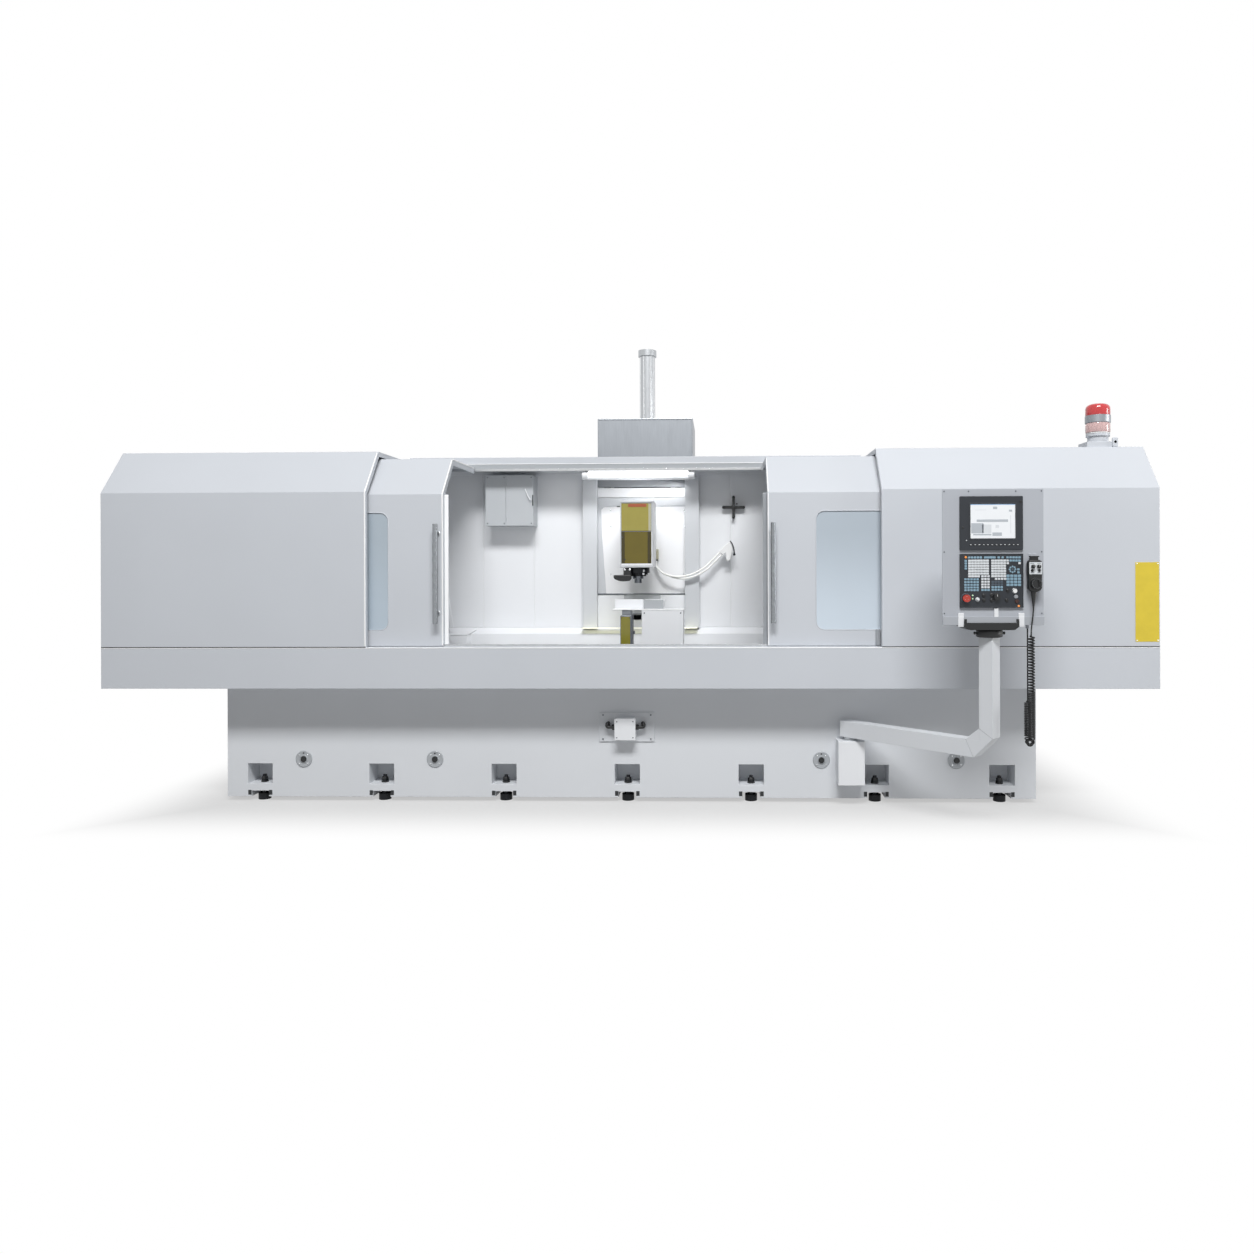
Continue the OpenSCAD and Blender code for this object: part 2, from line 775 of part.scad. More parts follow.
module column_casting() {
    slot_z1 = 2150;
    color(paint) difference() {
        union() {
            span([column_x0, column_front, base_top_z], [column_x1, column_back, column_top_z]);
            span([column_x - 220, plate_front, bellows_z1],
                 [column_x + 220, column_front, bellows_z1 + 12]);
        }
        span([column_x0 + cast_wall, column_front + cast_wall, base_top_z + cast_wall],
             [column_x1 - cast_wall, column_back - cast_wall, column_top_z - cast_wall]);
        span([column_x - column_slot_w / 2, column_front - 1, rail_z0],
             [column_x + column_slot_w / 2, column_front + cast_wall + 1, slot_z1]);
        translate([column_x, lift_y, column_top_z - cast_wall - 1])
            cylinder(d = lift_rod_d + 4, h = cast_wall + 2);
    }
}

shield_h = 125;
bellows_z0 = carriage_top_z + shield_h;
bellows_z1 = 2204;

// Plate that slides on the rails, with the guide box for the ram and a skirt below
module carriage() {
    shoe_x = rail_w / 2 + slide_gap;
    skirt_h = 145;
    color(white_paint) difference() {
        union() {
            span([column_x - carriage_w / 2, plate_front, carriage_z],
                 [column_x + carriage_w / 2, plate_back, carriage_top_z]);
            span([column_x - carriage_w / 2, plate_front + 14, carriage_top_z - 1],
                 [column_x + carriage_w / 2, plate_back, carriage_top_z + shield_h]);
            span([column_x - carriage_w / 2, plate_front + 2, carriage_top_z + shield_h / 2],
                 [column_x + carriage_w / 2, plate_back, carriage_top_z + shield_h]);
            span([column_x - carriage_w / 2, plate_front + 2, carriage_z - skirt_h],
                 [column_x + carriage_w / 2, plate_front + 2 + sheet_t, carriage_z + 1]);
            span([column_x - guide_x, plate_back - 1, guide_z0],
                 [column_x + guide_x, guide_back, guide_z1]);
            for (s = [-1, 1], z = [carriage_z + 20, carriage_top_z - 200])
                translate([column_x + s * rail_pitch / 2, 0, 0])
                    span([-rail_w / 2 - 40, plate_back - 1, z],
                         [rail_w / 2 + 30, column_front - slide_gap, z + 180]);
        }
        for (s = [-1, 1]) translate([column_x + s * rail_pitch / 2, 0, 0])
            span([-shoe_x, column_front - rail_t - slide_gap, carriage_z - 1],
                 [shoe_x, column_front + 1, carriage_top_z + 1]);
        span([column_x - ram_w / 2 - slide_gap, plate_front - 1, ram_z - slide_gap],
             [column_x + ram_w / 2 + slide_gap, guide_back + 1, ram_z + ram_h + slide_gap]);
    }
}

// Bellows above the carriage: folds in turn wide and narrow
module way_bellows() {
    folds = 6;
    fold_h = (bellows_z1 - slide_gap - bellows_z0) / (2 * folds);
    color([0.3, 0.31, 0.32]) for (i = [0 : 2 * folds - 1]) {
        inset = (i % 2) * 8;
        span([column_x - 205 + inset, plate_front + 4 + inset, bellows_z0 + i * fold_h],
             [column_x + 205 - inset, plate_back - slide_gap - inset,
              bellows_z0 + (i + 1) * fold_h]);
    }
}

// Rod that carries the carriage, with the piston that runs in the lift cylinder
piston_z = 2850;
piston_h = 50;

module lift_rod() {
    color(steel) translate([column_x, lift_y, 0]) {
        translate([0, 0, guide_z1]) cylinder(d = lift_rod_d, h = piston_z - guide_z1 + 1);
        translate([0, 0, guide_z1]) cylinder(d = lift_rod_d + 40, h = 24);
        translate([0, 0, piston_z]) cylinder(d = lift_bore - 2 * running_gap, h = piston_h);
    }
}

module lift_cylinder() {
    gland_h = 40;
    color(steel) translate([column_x, lift_y, 0]) difference() {
        union() {
            translate([0, 0, column_top_z]) cylinder(d = lift_tube_d, h = lift_top_z - column_top_z - 1);
            translate([0, 0, column_top_z]) cylinder(d = lift_tube_d + 60, h = gland_h);
            translate([0, 0, lift_top_z - lift_cap_h]) cylinder(d = lift_cap_d, h = lift_cap_h);
        }
        translate([0, 0, column_top_z - 1])
            cylinder(d = lift_rod_d + 2 * running_gap, h = gland_h + 2);
        translate([0, 0, column_top_z + gland_h])
            cylinder(d = lift_bore, h = lift_top_z - lift_cap_h - column_top_z - gland_h);
    }
}

module column_top_box() {
    box_y = lift_y - 230;
    color(steel) difference() {
        span([column_x - top_box_w / 2, box_y, column_top_z],
             [column_x + top_box_w / 2, box_y + top_box_depth, column_top_z + top_box_h]);
        span([column_x - top_box_w / 2 + sheet_t, box_y + sheet_t, column_top_z - 1],
             [column_x + top_box_w / 2 - sheet_t, box_y + top_box_depth - sheet_t,
              column_top_z + top_box_h - sheet_t]);
        translate([column_x, lift_y, column_top_z + top_box_h - sheet_t - 1])
            cylinder(d = lift_tube_d + 0.6, h = sheet_t + 2);
    }
}

manifold_x = 132;
manifold_z = 1527;
hose_fitting_h = 12;

module hose_manifold() {
    color(steel) {
        span([manifold_x - 16, plate_front - 50, manifold_z],
             [manifold_x + 16, plate_front, manifold_z + 69]);
        for (k = [0, 1]) translate([manifold_x, hose_route[0][1] + k * hose_pitch,
                                    manifold_z - hose_fitting_h])
            cylinder(d = hose_d + 3, h = hose_fitting_h + 1);
    }
}

cartridge_d = 150;
motor_bore = 96;
rotor_d = 92;
shaft_d = 44;
motor_z0 = head_z + 70;
motor_z1 = head_z + 270;
cartridge_top_z = head_z + 310;

// Hollow head with its window recess, and the ram that runs back from it
module spindle_head() {
    wall = 12;
    color(white_paint) difference() {
        union() {
            span([column_x - head_w / 2, head_front, head_z],
                 [column_x + head_w / 2, head_back, head_z + head_h]);
            span([column_x - ram_w / 2, head_back - 1, ram_z],
                 [column_x + ram_w / 2, ram_back, ram_z + ram_h]);
        }
        span([column_x - head_w / 2 + wall, head_front + wall + pane_t, head_z + wall],
             [column_x + head_w / 2 - wall, head_back - wall, head_z + head_h - wall]);
        span([column_x - ram_w / 2 + wall, head_back + wall, ram_z + wall],
             [column_x + ram_w / 2 - wall, ram_back - wall, ram_z + ram_h - wall]);
        translate([column_x, spindle_y, head_z - 1])
            cylinder(d = cartridge_d + 2 * slide_gap, h = wall + 2);
        head_window_space(0);
        span([column_x - head_w / 2 + 24, head_front, head_z + 46],
             [column_x + head_w / 2 - 24, head_front + wall + pane_t + 1, head_z + head_h - 34]);
    }
}

module head_window_space(gap) {
    span([column_x - head_w / 2 + 8 + gap, head_front - 1 + gap, head_z + 26 + gap],
         [column_x + head_w / 2 - 12 - gap, head_front + pane_t, head_z + head_h - 14 - gap]);
}

module head_window() {
    color(amber) head_window_space(0.5);
}

module spindle_cartridge() {
    color(dark) difference() {
        translate([column_x, spindle_y, 0]) {
            translate([0, 0, head_z - 1]) cylinder(d = cartridge_d, h = cartridge_top_z - head_z + 1);
            translate([0, 0, head_z - 36]) cylinder(d = spindle_flange_d, h = 36);
            translate([0, 0, head_z - 58]) cylinder(d = spindle_flange_d - 46, h = 24);
            for (a = [30 : 60 : 330]) rotate(a)
                translate([spindle_flange_d / 2 - 16, 0, head_z - 48]) cylinder(d = 18, h = 13);
        }
        translate([column_x, spindle_y, head_z - 60])
            cylinder(d = shaft_d + 2 * running_gap, h = 400);
        translate([column_x, spindle_y, motor_z0]) cylinder(d = motor_bore, h = motor_z1 - motor_z0);
    }
}

module spindle_rotor() {
    nose_top = head_z - 58 - slide_gap;
    color(steel) translate([column_x, spindle_y, 0]) {
        translate([0, 0, nose_top - nose_len - 16]) cylinder(d = nose_d, h = nose_len + 1);
        translate([0, 0, nose_top - 16]) cylinder(d = nose_d + 24, h = 16);
        translate([0, 0, nose_top - 1]) cylinder(d = shaft_d, h = motor_z1 + 20 - nose_top);
        translate([0, 0, motor_z0 + 10]) cylinder(d = rotor_d, h = motor_z1 - motor_z0 - 20);
    }
}

// Coolant shoe in front of the spindle nose, on an arm from the head's underside
module coolant_nozzle() {
    shoe_y = head_front + 4;
    color(dark) {
        translate([0, shoe_y + 36, 0]) rotate([90, 0, 0]) linear_extrude(36)
            polygon([[-126, 1417], [-30, 1417], [-8, 1408], [-8, 1384], [-40, 1374],
                     [-104, 1376], [-122, 1390]]);
        span([column_x - 106, shoe_y, 1405], [column_x - 84, shoe_y + 30, head_z]);
    }
}

// Table and dresser
cap_len = 35;
cyl_saddle_h = 6;
cyl_z = table_z - cyl_saddle_h - table_cyl_d / 2;
table_top_z = table_z + table_t;

module work_table() {
    color(steel) along_x(-table_len / 2, table_len / 2) difference() {
        translate([table_mid - table_w / 2, table_z]) square([table_w, table_t]);
        ridge(slide_gap);
        for (k = [-1 : 1]) translate([table_mid + k * slot_pitch, 0]) {
            translate([-slot_mouth / 2, table_top_z - slot_mouth_depth])
                square([slot_mouth, slot_mouth_depth + 1]);
            translate([-slot_foot / 2, table_top_z - slot_mouth_depth - slot_foot_h])
                square([slot_foot, slot_foot_h + 0.01]);
        }
    }
}

// Barrel under the table, which travels with it over the fixed rod
module table_cylinder() {
    color(steel) difference() {
        union() {
            rod_x([-table_len / 2, table_mid, cyl_z], table_cyl_d, table_len);
            for (x = [-0.36, 0, 0.36] * table_len)
                span([x - 60, table_mid - 30, cyl_z], [x + 60, table_mid + 30, table_z]);
        }
        rod_x([-table_len / 2 + cap_len, table_mid, cyl_z], table_cyl_bore, table_len - 2 * cap_len);
        rod_x([-table_len / 2 - 1, table_mid, cyl_z], table_rod_d + 2 * running_gap, table_len + 2);
    }
}

module table_rod() {
    rod_end = bed_len / 2 - 13;
    piston_len = 50;
    color(steel) {
        rod_x([-rod_end, table_mid, cyl_z], table_rod_d, 2 * rod_end);
        rod_x([-piston_len / 2, table_mid, cyl_z], table_cyl_bore - 2 * running_gap, piston_len);
        for (x = [-rod_end, rod_end - 40])
            span([x, table_mid - 40, trough_floor_z], [x + 40, table_mid + 40, cyl_z + 26]);
    }
}

dresser_front = 420;
dresser_back = dresser_front + 180;

// Dresser drive box with its top shelf, the guard that stands on it and a small motor
module dresser_housing() {
    box_x0 = 79;
    box_x1 = 347;
    shelf_x0 = -112;
    shelf_z = 1190;
    guard_z = 1256;
    color(white_paint) {
        difference() {
            span([box_x0, dresser_front, table_top_z], [box_x1, dresser_back, shelf_z]);
            span([box_x0 + sheet_t, dresser_front + sheet_t, table_top_z + sheet_t],
                 [box_x1 - sheet_t, dresser_back - sheet_t, shelf_z - sheet_t]);
        }
        span([shelf_x0, dresser_front, shelf_z], [box_x1 + 3, dresser_back, shelf_z + 6]);
        span([shelf_x0, dresser_front + 150, shelf_z + 5],
             [box_x0, dresser_front + 154, guard_z]);
        span([88, dresser_front + 70, shelf_z + 5], [216, dresser_front + 176, guard_z]);
    }
}

module dresser_unit() {
    unit_x0 = -61;
    unit_x1 = 12;
    unit_top_z = 1156;
    color(amber) {
        span([unit_x0, dresser_front + 8, table_top_z], [unit_x1, dresser_front + 168, unit_top_z]);
        span([unit_x0 + 14, dresser_front + 60, unit_top_z - 1],
             [unit_x1 - 14, dresser_front + 120, unit_top_z + 34]);
    }
}

// Doors
module door_strip(t0, t1, back) {
    sheet_strip(door_setback, door_bottom_z, door_break_z, door_roof_z, door_slope_run,
                back, t0, t1);
}

module window_hole(x0) {
    round_plate([x0, door_setback - 1, window_z], window_len, window_h, sheet_t + 2, window_r);
}

// Groove over the lower track, in the Y-Z plane
module track_groove() {
    translate([track_y - slide_gap, door_bottom_z - 1])
        square([track_w + 2 * slide_gap, sill_top_z + track_h + slide_gap + 1 - door_bottom_z]);
}

// One door between x0 and x1; edge_x is its free edge and side points out of that edge
module door(x0, x1, edge_x, side, window_x0) {
    shoe_top = door_bottom_z + 34;
    flange_y = door_setback + door_rib;
    color(paint) {
        difference() {
            along_x(x0, x1) door_strip(0, sheet_t, beam_front - 10);
            window_hole(window_x0);
        }
        for (x = [x0, x1 - sheet_t]) along_x(x, x + sheet_t) difference() {
            door_strip(0, door_rib, beam_front - top_track_w - 4);
            track_groove();
        }
        span([min(edge_x, edge_x + side * door_flange), flange_y - sheet_t, door_bottom_z],
             [max(edge_x, edge_x + side * door_flange), flange_y, door_break_z]);
        along_x(x0, x1) difference() {
            translate([door_setback, door_bottom_z]) square([flange_y + 4 - door_setback, 34]);
            track_groove();
        }
        for (x = [x0 + 60, x1 - 160])
            span([x, beam_front - 15, top_track_z + top_track_h + slide_gap],
                 [x + 100, beam_front - 10, door_roof_z]);
    }
}

module pane(x0) {
    color(window_blue) round_plate([x0 - pane_lap, door_setback + sheet_t, window_z - pane_lap],
        window_len + 2 * pane_lap, window_h + 2 * pane_lap, pane_t, window_r + pane_lap);
}

// Upright bar on two standoffs in front of a door
module handle(x) {
    bar_y = door_setback - handle_gap - handle_d / 2;
    color(steel) {
        translate([x, bar_y, handle_z]) cylinder(d = handle_d, h = handle_len);
        for (z = [handle_z + 60, handle_z + handle_len - 60])
            rod_y([x, bar_y, z], 14, door_setback - bar_y);
    }
}

module left_door() {
    door(-left_door_edge - door_w, -left_door_edge, -left_door_edge, 1,
         -left_door_edge - left_window_inset - window_len);
}

module left_window() {
    pane(-left_door_edge - left_window_inset - window_len);
}

module left_handle() {
    handle(-left_door_edge - handle_inset);
}

module right_door() {
    door(right_door_edge, right_door_edge + door_w, right_door_edge, -1,
         right_door_edge + right_window_inset);
}

module right_window() {
    pane(right_door_edge + right_window_inset);
}

module right_handle() {
    handle(right_door_edge + handle_inset);
}

// Beacon on the right cover
beacon_x = 2938;
beacon_y = 300;
beacon_base_h = 88;

module beacon_base() {
    color(paint) translate([beacon_x, beacon_y, cover_roof_z]) {
        span([-93, -70, 0], [93, 70, 36]);
        translate([0, 0, 36]) cylinder(d = 122, h = beacon_base_h - 50);
        translate([0, 0, beacon_base_h - 14]) cylinder(d = 140, h = 14);
    }
}

module beacon_lens() {
    lens_h = 191;
    color([0.93, 0.45, 0.45]) translate([beacon_x, beacon_y, cover_roof_z + beacon_base_h])
        difference() {
            cylinder(d = 150, h = lens_h);
            translate([0, 0, 4]) cylinder(d = 142, h = lens_h - 10);
        }
}

// Pendant arm
pivot_y = bed_front - 65;
post_x = pivot_x + arm_len * cos(arm_angle);
post_y = pivot_y - arm_len * sin(arm_angle);
mount_top_z = 404;

module arm_mount() {
    color(paint) difference() {
        span([pivot_x - 80, bed_front - 130, 134], [pivot_x + 81, bed_front, mount_top_z]);
        translate([pivot_x, pivot_y, mount_top_z - 80])
            cylinder(d = pivot_d + 2 * running_gap, h = 81);
    }
}

// Outline of the arm, the mitred elbow and the post in their own upright plane, set in by w
module arm_outline(w) {
    end_r = arm_w / 2;
    polygon([[-45 + w, arm_z + w], [arm_len - 75 - 0.4 * w, arm_z + w],
             [arm_len + end_r - w, arm_z + 115 + 0.4 * w], [arm_len + end_r - w, post_top_z - w],
             [arm_len - end_r + w, post_top_z - w], [arm_len - end_r + w, arm_z + arm_h - w],
             [-45 + w, arm_z + arm_h - w]]);
}

module swing_arm() {
    color(white_paint) {
        translate([pivot_x, pivot_y, 0]) rotate(-arm_angle) difference() {
            translate([0, arm_w / 2, 0]) rotate([90, 0, 0]) linear_extrude(arm_w) arm_outline(0);
            translate([0, arm_w / 2 - arm_wall, 0]) rotate([90, 0, 0])
                linear_extrude(arm_w - 2 * arm_wall) arm_outline(arm_wall);
        }
        translate([pivot_x, pivot_y, mount_top_z - 70]) cylinder(d = pivot_d, h = arm_z + 1 - mount_top_z + 70);
        translate([pivot_x, pivot_y, mount_top_z + slide_gap])
            cylinder(d = pivot_d + 22, h = arm_z + 1 - mount_top_z - slide_gap);
        translate([post_x, post_y, post_top_z - 1]) cylinder(d = swivel_pin_d, h = 31);
    }
}
swivel_pin_d = 40;

// Pendant, drawn around the post with its front towards the viewer
plate_t = 5;
plate_y = -cabinet_depth / 2 - plate_t;
panel_x = -10;
display_z = 1549;
operator_z = 1243;
handset_x = 209;
handset_z = 1325;
handset_front = plate_y - 6 - handset_t;
gland_x = 205;
cord_y = plate_y - 6 - handset_t / 2;

// Reach of the grip on the handset's wheel in front of the handset
wheel_grip = 24;
// Place of the front plane of the sill in the part's own frame: the origin lies midway
// between the grip, which reaches furthest to the front, and the back of the column's base.
front_plane_y = -(base_back + post_y + handset_front - wheel_grip) / 2;

module at_post() {
    translate([post_x, post_y, 0]) children();
}

module pendant_yoke() {
    yoke_w = 290;
    swivel_h = 42;
    base_h = plate_z - post_top_z - swivel_h;
    color(dark) at_post() {
        difference() {
            translate([0, 0, post_top_z + slide_gap]) cylinder(d = 167, h = swivel_h - slide_gap);
            translate([0, 0, post_top_z - 1]) cylinder(d = swivel_pin_d + 2 * running_gap, h = 36);
        }
        span([-yoke_w / 2, plate_y - 24, post_top_z + swivel_h],
             [yoke_w / 2, cabinet_depth / 2, post_top_z + swivel_h + base_h]);
        for (x = [-yoke_w / 2, yoke_w / 2 - 12])
            span([x, plate_y - 24, post_top_z + swivel_h], [x + 12, plate_y - 10, plate_z + 34]);
    }
}

module pendant_cabinet() {
    box_x = plate_w / 2 - 42;
    color(paint) at_post() {
        span([-plate_w / 2, plate_y, plate_z], [plate_w / 2, plate_y + plate_t, plate_z + plate_h]);
        span([-plate_w / 2, plate_y - 8, plate_z], [plate_w / 2, plate_y + 1, plate_z + 44]);
        difference() {
            span([-box_x, -cabinet_depth / 2 - 1, plate_z],
                 [box_x, cabinet_depth / 2, plate_z + plate_h - 36]);
            span([-box_x + sheet_t, -cabinet_depth / 2 + sheet_t, plate_z + sheet_t],
                 [box_x - sheet_t, cabinet_depth / 2 - sheet_t, plate_z + plate_h - 36 - sheet_t]);
        }
        span([handset_x - 20, plate_y - 6, handset_z + 90], [handset_x + 20, plate_y + 1, handset_z + 205]);
        translate([coil_x, cord_y + 2 * turn_r, plate_z - 20]) cylinder(d = 20, h = 21);
    }
}

// Panel in front of the plate with a recess for its face
module face_panel(z, h, inset, low) {
    difference() {
        span([panel_x - panel_w / 2, plate_y - panel_t, z], [panel_x + panel_w / 2, plate_y, z + h]);
        span([panel_x - panel_w / 2 + inset, plate_y - panel_t - 1, z + low],
             [panel_x + panel_w / 2 - inset, plate_y - panel_t + 3, z + h - inset + 10]);
    }
}

module display_unit() {
    color(dark) at_post() face_panel(display_z, display_h, 52, 60);
}

estop_x = -147;
estop_z = operator_z + 50;
start_x = 111;
start_z = operator_z + 89;
override_x = 15;
override_z = operator_z + 57;
stem_d = 12;

module operator_panel() {
    color(dark) at_post() difference() {
        span([panel_x - panel_w / 2, plate_y - panel_t, operator_z],
             [panel_x + panel_w / 2, plate_y, operator_z + operator_h]);
        for (p = [[estop_x, estop_z], [start_x, start_z], [override_x, override_z]])
            rod_y([p[0], plate_y - panel_t - 1, p[1]], stem_d + 2 * running_gap, panel_t);
    }
}

module estop_button() {
    color([0.75, 0.15, 0.12]) at_post() {
        rod_y([estop_x, plate_y - panel_t - estop_travel - 18, estop_z], estop_d, 16);
        rod_y([estop_x, plate_y - panel_t - estop_travel - 3, estop_z], stem_d, estop_travel + 7);
    }
}

module start_button() {
    color(white_paint) at_post() {
        rod_y([start_x, plate_y - panel_t - start_travel - 6, start_z], start_d, 5);
        rod_y([start_x, plate_y - panel_t - start_travel - 2, start_z], stem_d, start_travel + 8);
    }
}

module override_knob() {
    color(dark) at_post() {
        rod_y([override_x, plate_y - panel_t - 18, override_z], override_d, 17.5);
        rod_y([override_x, plate_y - panel_t - 1, override_z], stem_d, 10);
    }
}

knob_d = 20;
knob_x = 15;
knob_z = handset_z + 136;
wheel_z = handset_z + 46;
pin_d = 6;

module handset_body() {
    color(dark) at_post() difference() {
        union() {
            round_plate([handset_x - handset_w / 2, handset_front, handset_z],
                        handset_w, handset_h, handset_t, 18);
            translate([gland_x, cord_y, handset_z - 20]) cylinder(d = 18, h = 21);
            span([handset_x - 18, handset_front + 16, handset_z + handset_h - 1],
                 [handset_x + 18, handset_front + 30, handset_z + handset_h + 14]);
        }
        for (p = [[-knob_x, knob_z], [knob_x, knob_z], [0, wheel_z]])
            rod_y([handset_x + p[0], handset_front - 1, p[1]], pin_d + 2 * running_gap, 16);
    }
}

module handset_wheel() {
    color(dark) at_post() {
        rod_y([handset_x, handset_front - 14, wheel_z], wheel_d, 13.7);
        rod_y([handset_x + 16, handset_front - wheel_grip, wheel_z - 6], 12, 11);
        rod_y([handset_x, handset_front - 1, wheel_z], pin_d, 14);
    }
}

module handset_knob(x) {
    color(dark) at_post() {
        rod_y([handset_x + x, handset_front - 12, knob_z], knob_d, 11.7);
        span([handset_x + x - 3, handset_front - 17, knob_z - 10],
             [handset_x + x + 3, handset_front - 11, knob_z + 10]);
        rod_y([handset_x + x, handset_front - 1, knob_z], pin_d, 14);
    }
}

module handset_axis_knob() {
    handset_knob(-knob_x);
}

module handset_step_knob() {
    handset_knob(knob_x);
}

// Cords and hoses
coil_x = 192;
coil_top_z = 1100;
dense_top_z = 795;
turn_z = 550;
return_top_z = 742;
turn_r = 30;
curl_r = (curl_outer_d - cord_d) / 2;
all_curls = loose_curls + dense_curls + turn_curls + return_curls;

function unit(v) = v / norm(v);

// Place and direction of the coil's middle line after u curls: down, round the turn, and up
function coil_axis(u) =
    let (u1 = u - loose_curls, u2 = u1 - dense_curls, u3 = u2 - turn_curls)
    u <= loose_curls ?
        [[coil_x, cord_y, coil_top_z - u * (coil_top_z - dense_top_z) / loose_curls], [0, 0, -1]] :
    u1 <= dense_curls ?
        [[coil_x, cord_y, dense_top_z - u1 * (dense_top_z - turn_z) / dense_curls], [0, 0, -1]] :
    u2 <= turn_curls ?
        let (a = 180 * u2 / turn_curls)
        [[coil_x, cord_y + turn_r * (1 - cos(a)), turn_z - turn_r * sin(a)], [0, sin(a), -cos(a)]] :
        [[coil_x, cord_y + 2 * turn_r, turn_z + u3 * (return_top_z - turn_z) / return_curls], [0, 0, 1]];

// Centre point and radial direction of the cord after u curls; the first and last curl open
// and close as the square of their share, so that both ends run straight.
function curl_point(u) =
    let (a = coil_axis(u), e = min(1, u, all_curls - u), side = [1, 0, 0],
         radial = cos(360 * u) * side + sin(360 * u) * cross(a[1], side))
    [a[0] + curl_r * e * e * radial, radial, a[1]];

function coil_points() = concat(
    [[curl_point(0)[0] + [0, 0, cord_d], curl_point(0)[1]]],
    [for (k = [0 : 8 * all_curls]) curl_point(k / 8)],
    [[curl_point(all_curls)[0] + [0, 0, cord_d], curl_point(all_curls)[1]]]);

// One ring of n corners around p, square to the direction t, its first corner towards side
function ring(p, t, side, r, n) =
    let (u = unit(side - (side * t) * t), v = cross(t, u))
    [for (j = [0 : n - 1]) p + r * (cos(360 * j / n) * u + sin(360 * j / n) * v)];

// Tube through the centre points p, with a side direction for each
module tube(p, side, r, n) {
    last = len(p) - 1;
    rings = [for (i = [0 : last])
        ring(p[i], unit(p[min(i + 1, last)] - p[max(i - 1, 0)]), side[i], r, n)];
    points = [for (one = rings) each one];
    sides = [for (i = [0 : last - 1], j = [0 : n - 1])
        let (a = i * n + j, b = i * n + (j + 1) % n) each [[a, b + n, b], [a, a + n, b + n]]];
    start = [for (j = [1 : n - 2]) [0, j, j + 1]];
    end = [for (j = [1 : n - 2]) [last * n, last * n + j + 1, last * n + j]];
    polyhedron(points, concat(sides, start, end));
}

module handset_cord() {
    c = coil_points();
    p = [for (one = c) one[0]];
    gap = min([for (i = [0 : len(p) - 1], j = [i + 5 : 1 : len(p) - 1]) norm(p[i] - p[j])]) - cord_d;
    echo(least_gap_of_the_cord_to_itself_mm = gap);
    color(dark) at_post() tube(p, [for (one = c) one[1]], cord_d / 2, 6);
}

// Free stretches of the cord: handset to coil, and coil to the gland under the cabinet
upper_tail = [[205, 1305], [205, 1296], [205, 1270], [204, 1235], [201, 1200], [197, 1165],
              [193, 1135], [192, 1118], [192, 1108]];
lower_tail = [[192, 750], [192, 790], [192, 830], [192, 870], [192, 910], [192, 950],
              [192, 990], [192, 1030], [192, 1070], [192, 1100], [192, 1130]];

module cord_tail() {
    color(dark) at_post() {
        for (s = [[upper_tail, cord_y], [lower_tail, cord_y + 2 * turn_r]])
            tube([for (q = s[0]) [q[0], s[1], q[1]]], [for (q = s[0]) [0, 1, 0]], cord_d / 2, 8);
    }
}

// Pair of wash hoses from the manifold on the carriage to the gun. The second one starts behind
// the first, turns around it over the low middle of the route and enters the gun below it.
hose_d = 13;
hose_pitch = 17;
hose_side = 15;
hose_turn_x0 = 190;
hose_turn_len = 140;
hose_route = [[132, 1022, 1515], [132, 1022, 1502], [134, 1018, 1488], [144, 1006, 1464],
              [166, 990, 1438], [198, 974, 1420], [240, 964, 1408], [288, 960, 1402],
              [338, 958, 1406], [390, 958, 1420], [440, 958, 1444], [488, 962, 1476],
              [530, 970, 1518], [560, 974, 1548], [586, 974, 1574]];

module wash_hose() {
    color([0.95, 0.95, 0.94]) for (k = [0, 1])
        tube([for (q = hose_route)
                let (a = 90 * max(0, min(1, (q[0] - hose_turn_x0) / hose_turn_len)))
                q + k * [hose_side * sin(a), hose_pitch * cos(a), -hose_side * sin(a)]],
             [for (q = hose_route) [1, 1, 0]], hose_d / 2, 8);
}

place() bed_casting();
place() guide_ways();
place() leveling_feet();
place() lifting_bar_flanges();
place() bed_cable_box();
place() trough_tray();
place() front_apron();
place() left_cover();
place() right_cover();
place() rear_wall();
place() top_beam();
place() door_tracks();
place() guard_pillars();
place() work_lamp();
place() lamp_tube();
place() junction_box();
place() junction_box_door();
place() star_handle();
place() wash_gun();
place() wash_hose();
place() column_casting();
place() column_top_box();
place() lift_cylinder();
place() way_bellows();
place() table_rod();
place() arm_mount();
place() beacon_base();
place() beacon_lens();
place() work_table();
place() table_cylinder();
place() dresser_housing();
place() dresser_unit();
place() carriage();
place() lift_rod();
place() hose_manifold();
place() spindle_head();
place() head_window();
place() spindle_cartridge();
place() coolant_nozzle();
place() spindle_rotor();
place() left_door();
place() left_window();
place() left_handle();
place() right_door();
place() right_window();
place() right_handle();
place() swing_arm();
place() pendant_yoke();
place() pendant_cabinet();
place() display_unit();
place() operator_panel();
place() estop_button();
place() start_button();
place() override_knob();
place() handset_body();
place() handset_wheel();
place() handset_axis_knob();
place() handset_step_knob();
place() handset_cord();
place() cord_tail();
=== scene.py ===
"""Dressed model of a long-bed profile grinding machine: finishes, fine pieces, light and camera."""

from __future__ import annotations

import logging
import math
from dataclasses import dataclass, field
from enum import Enum
from typing import Iterable, Sequence

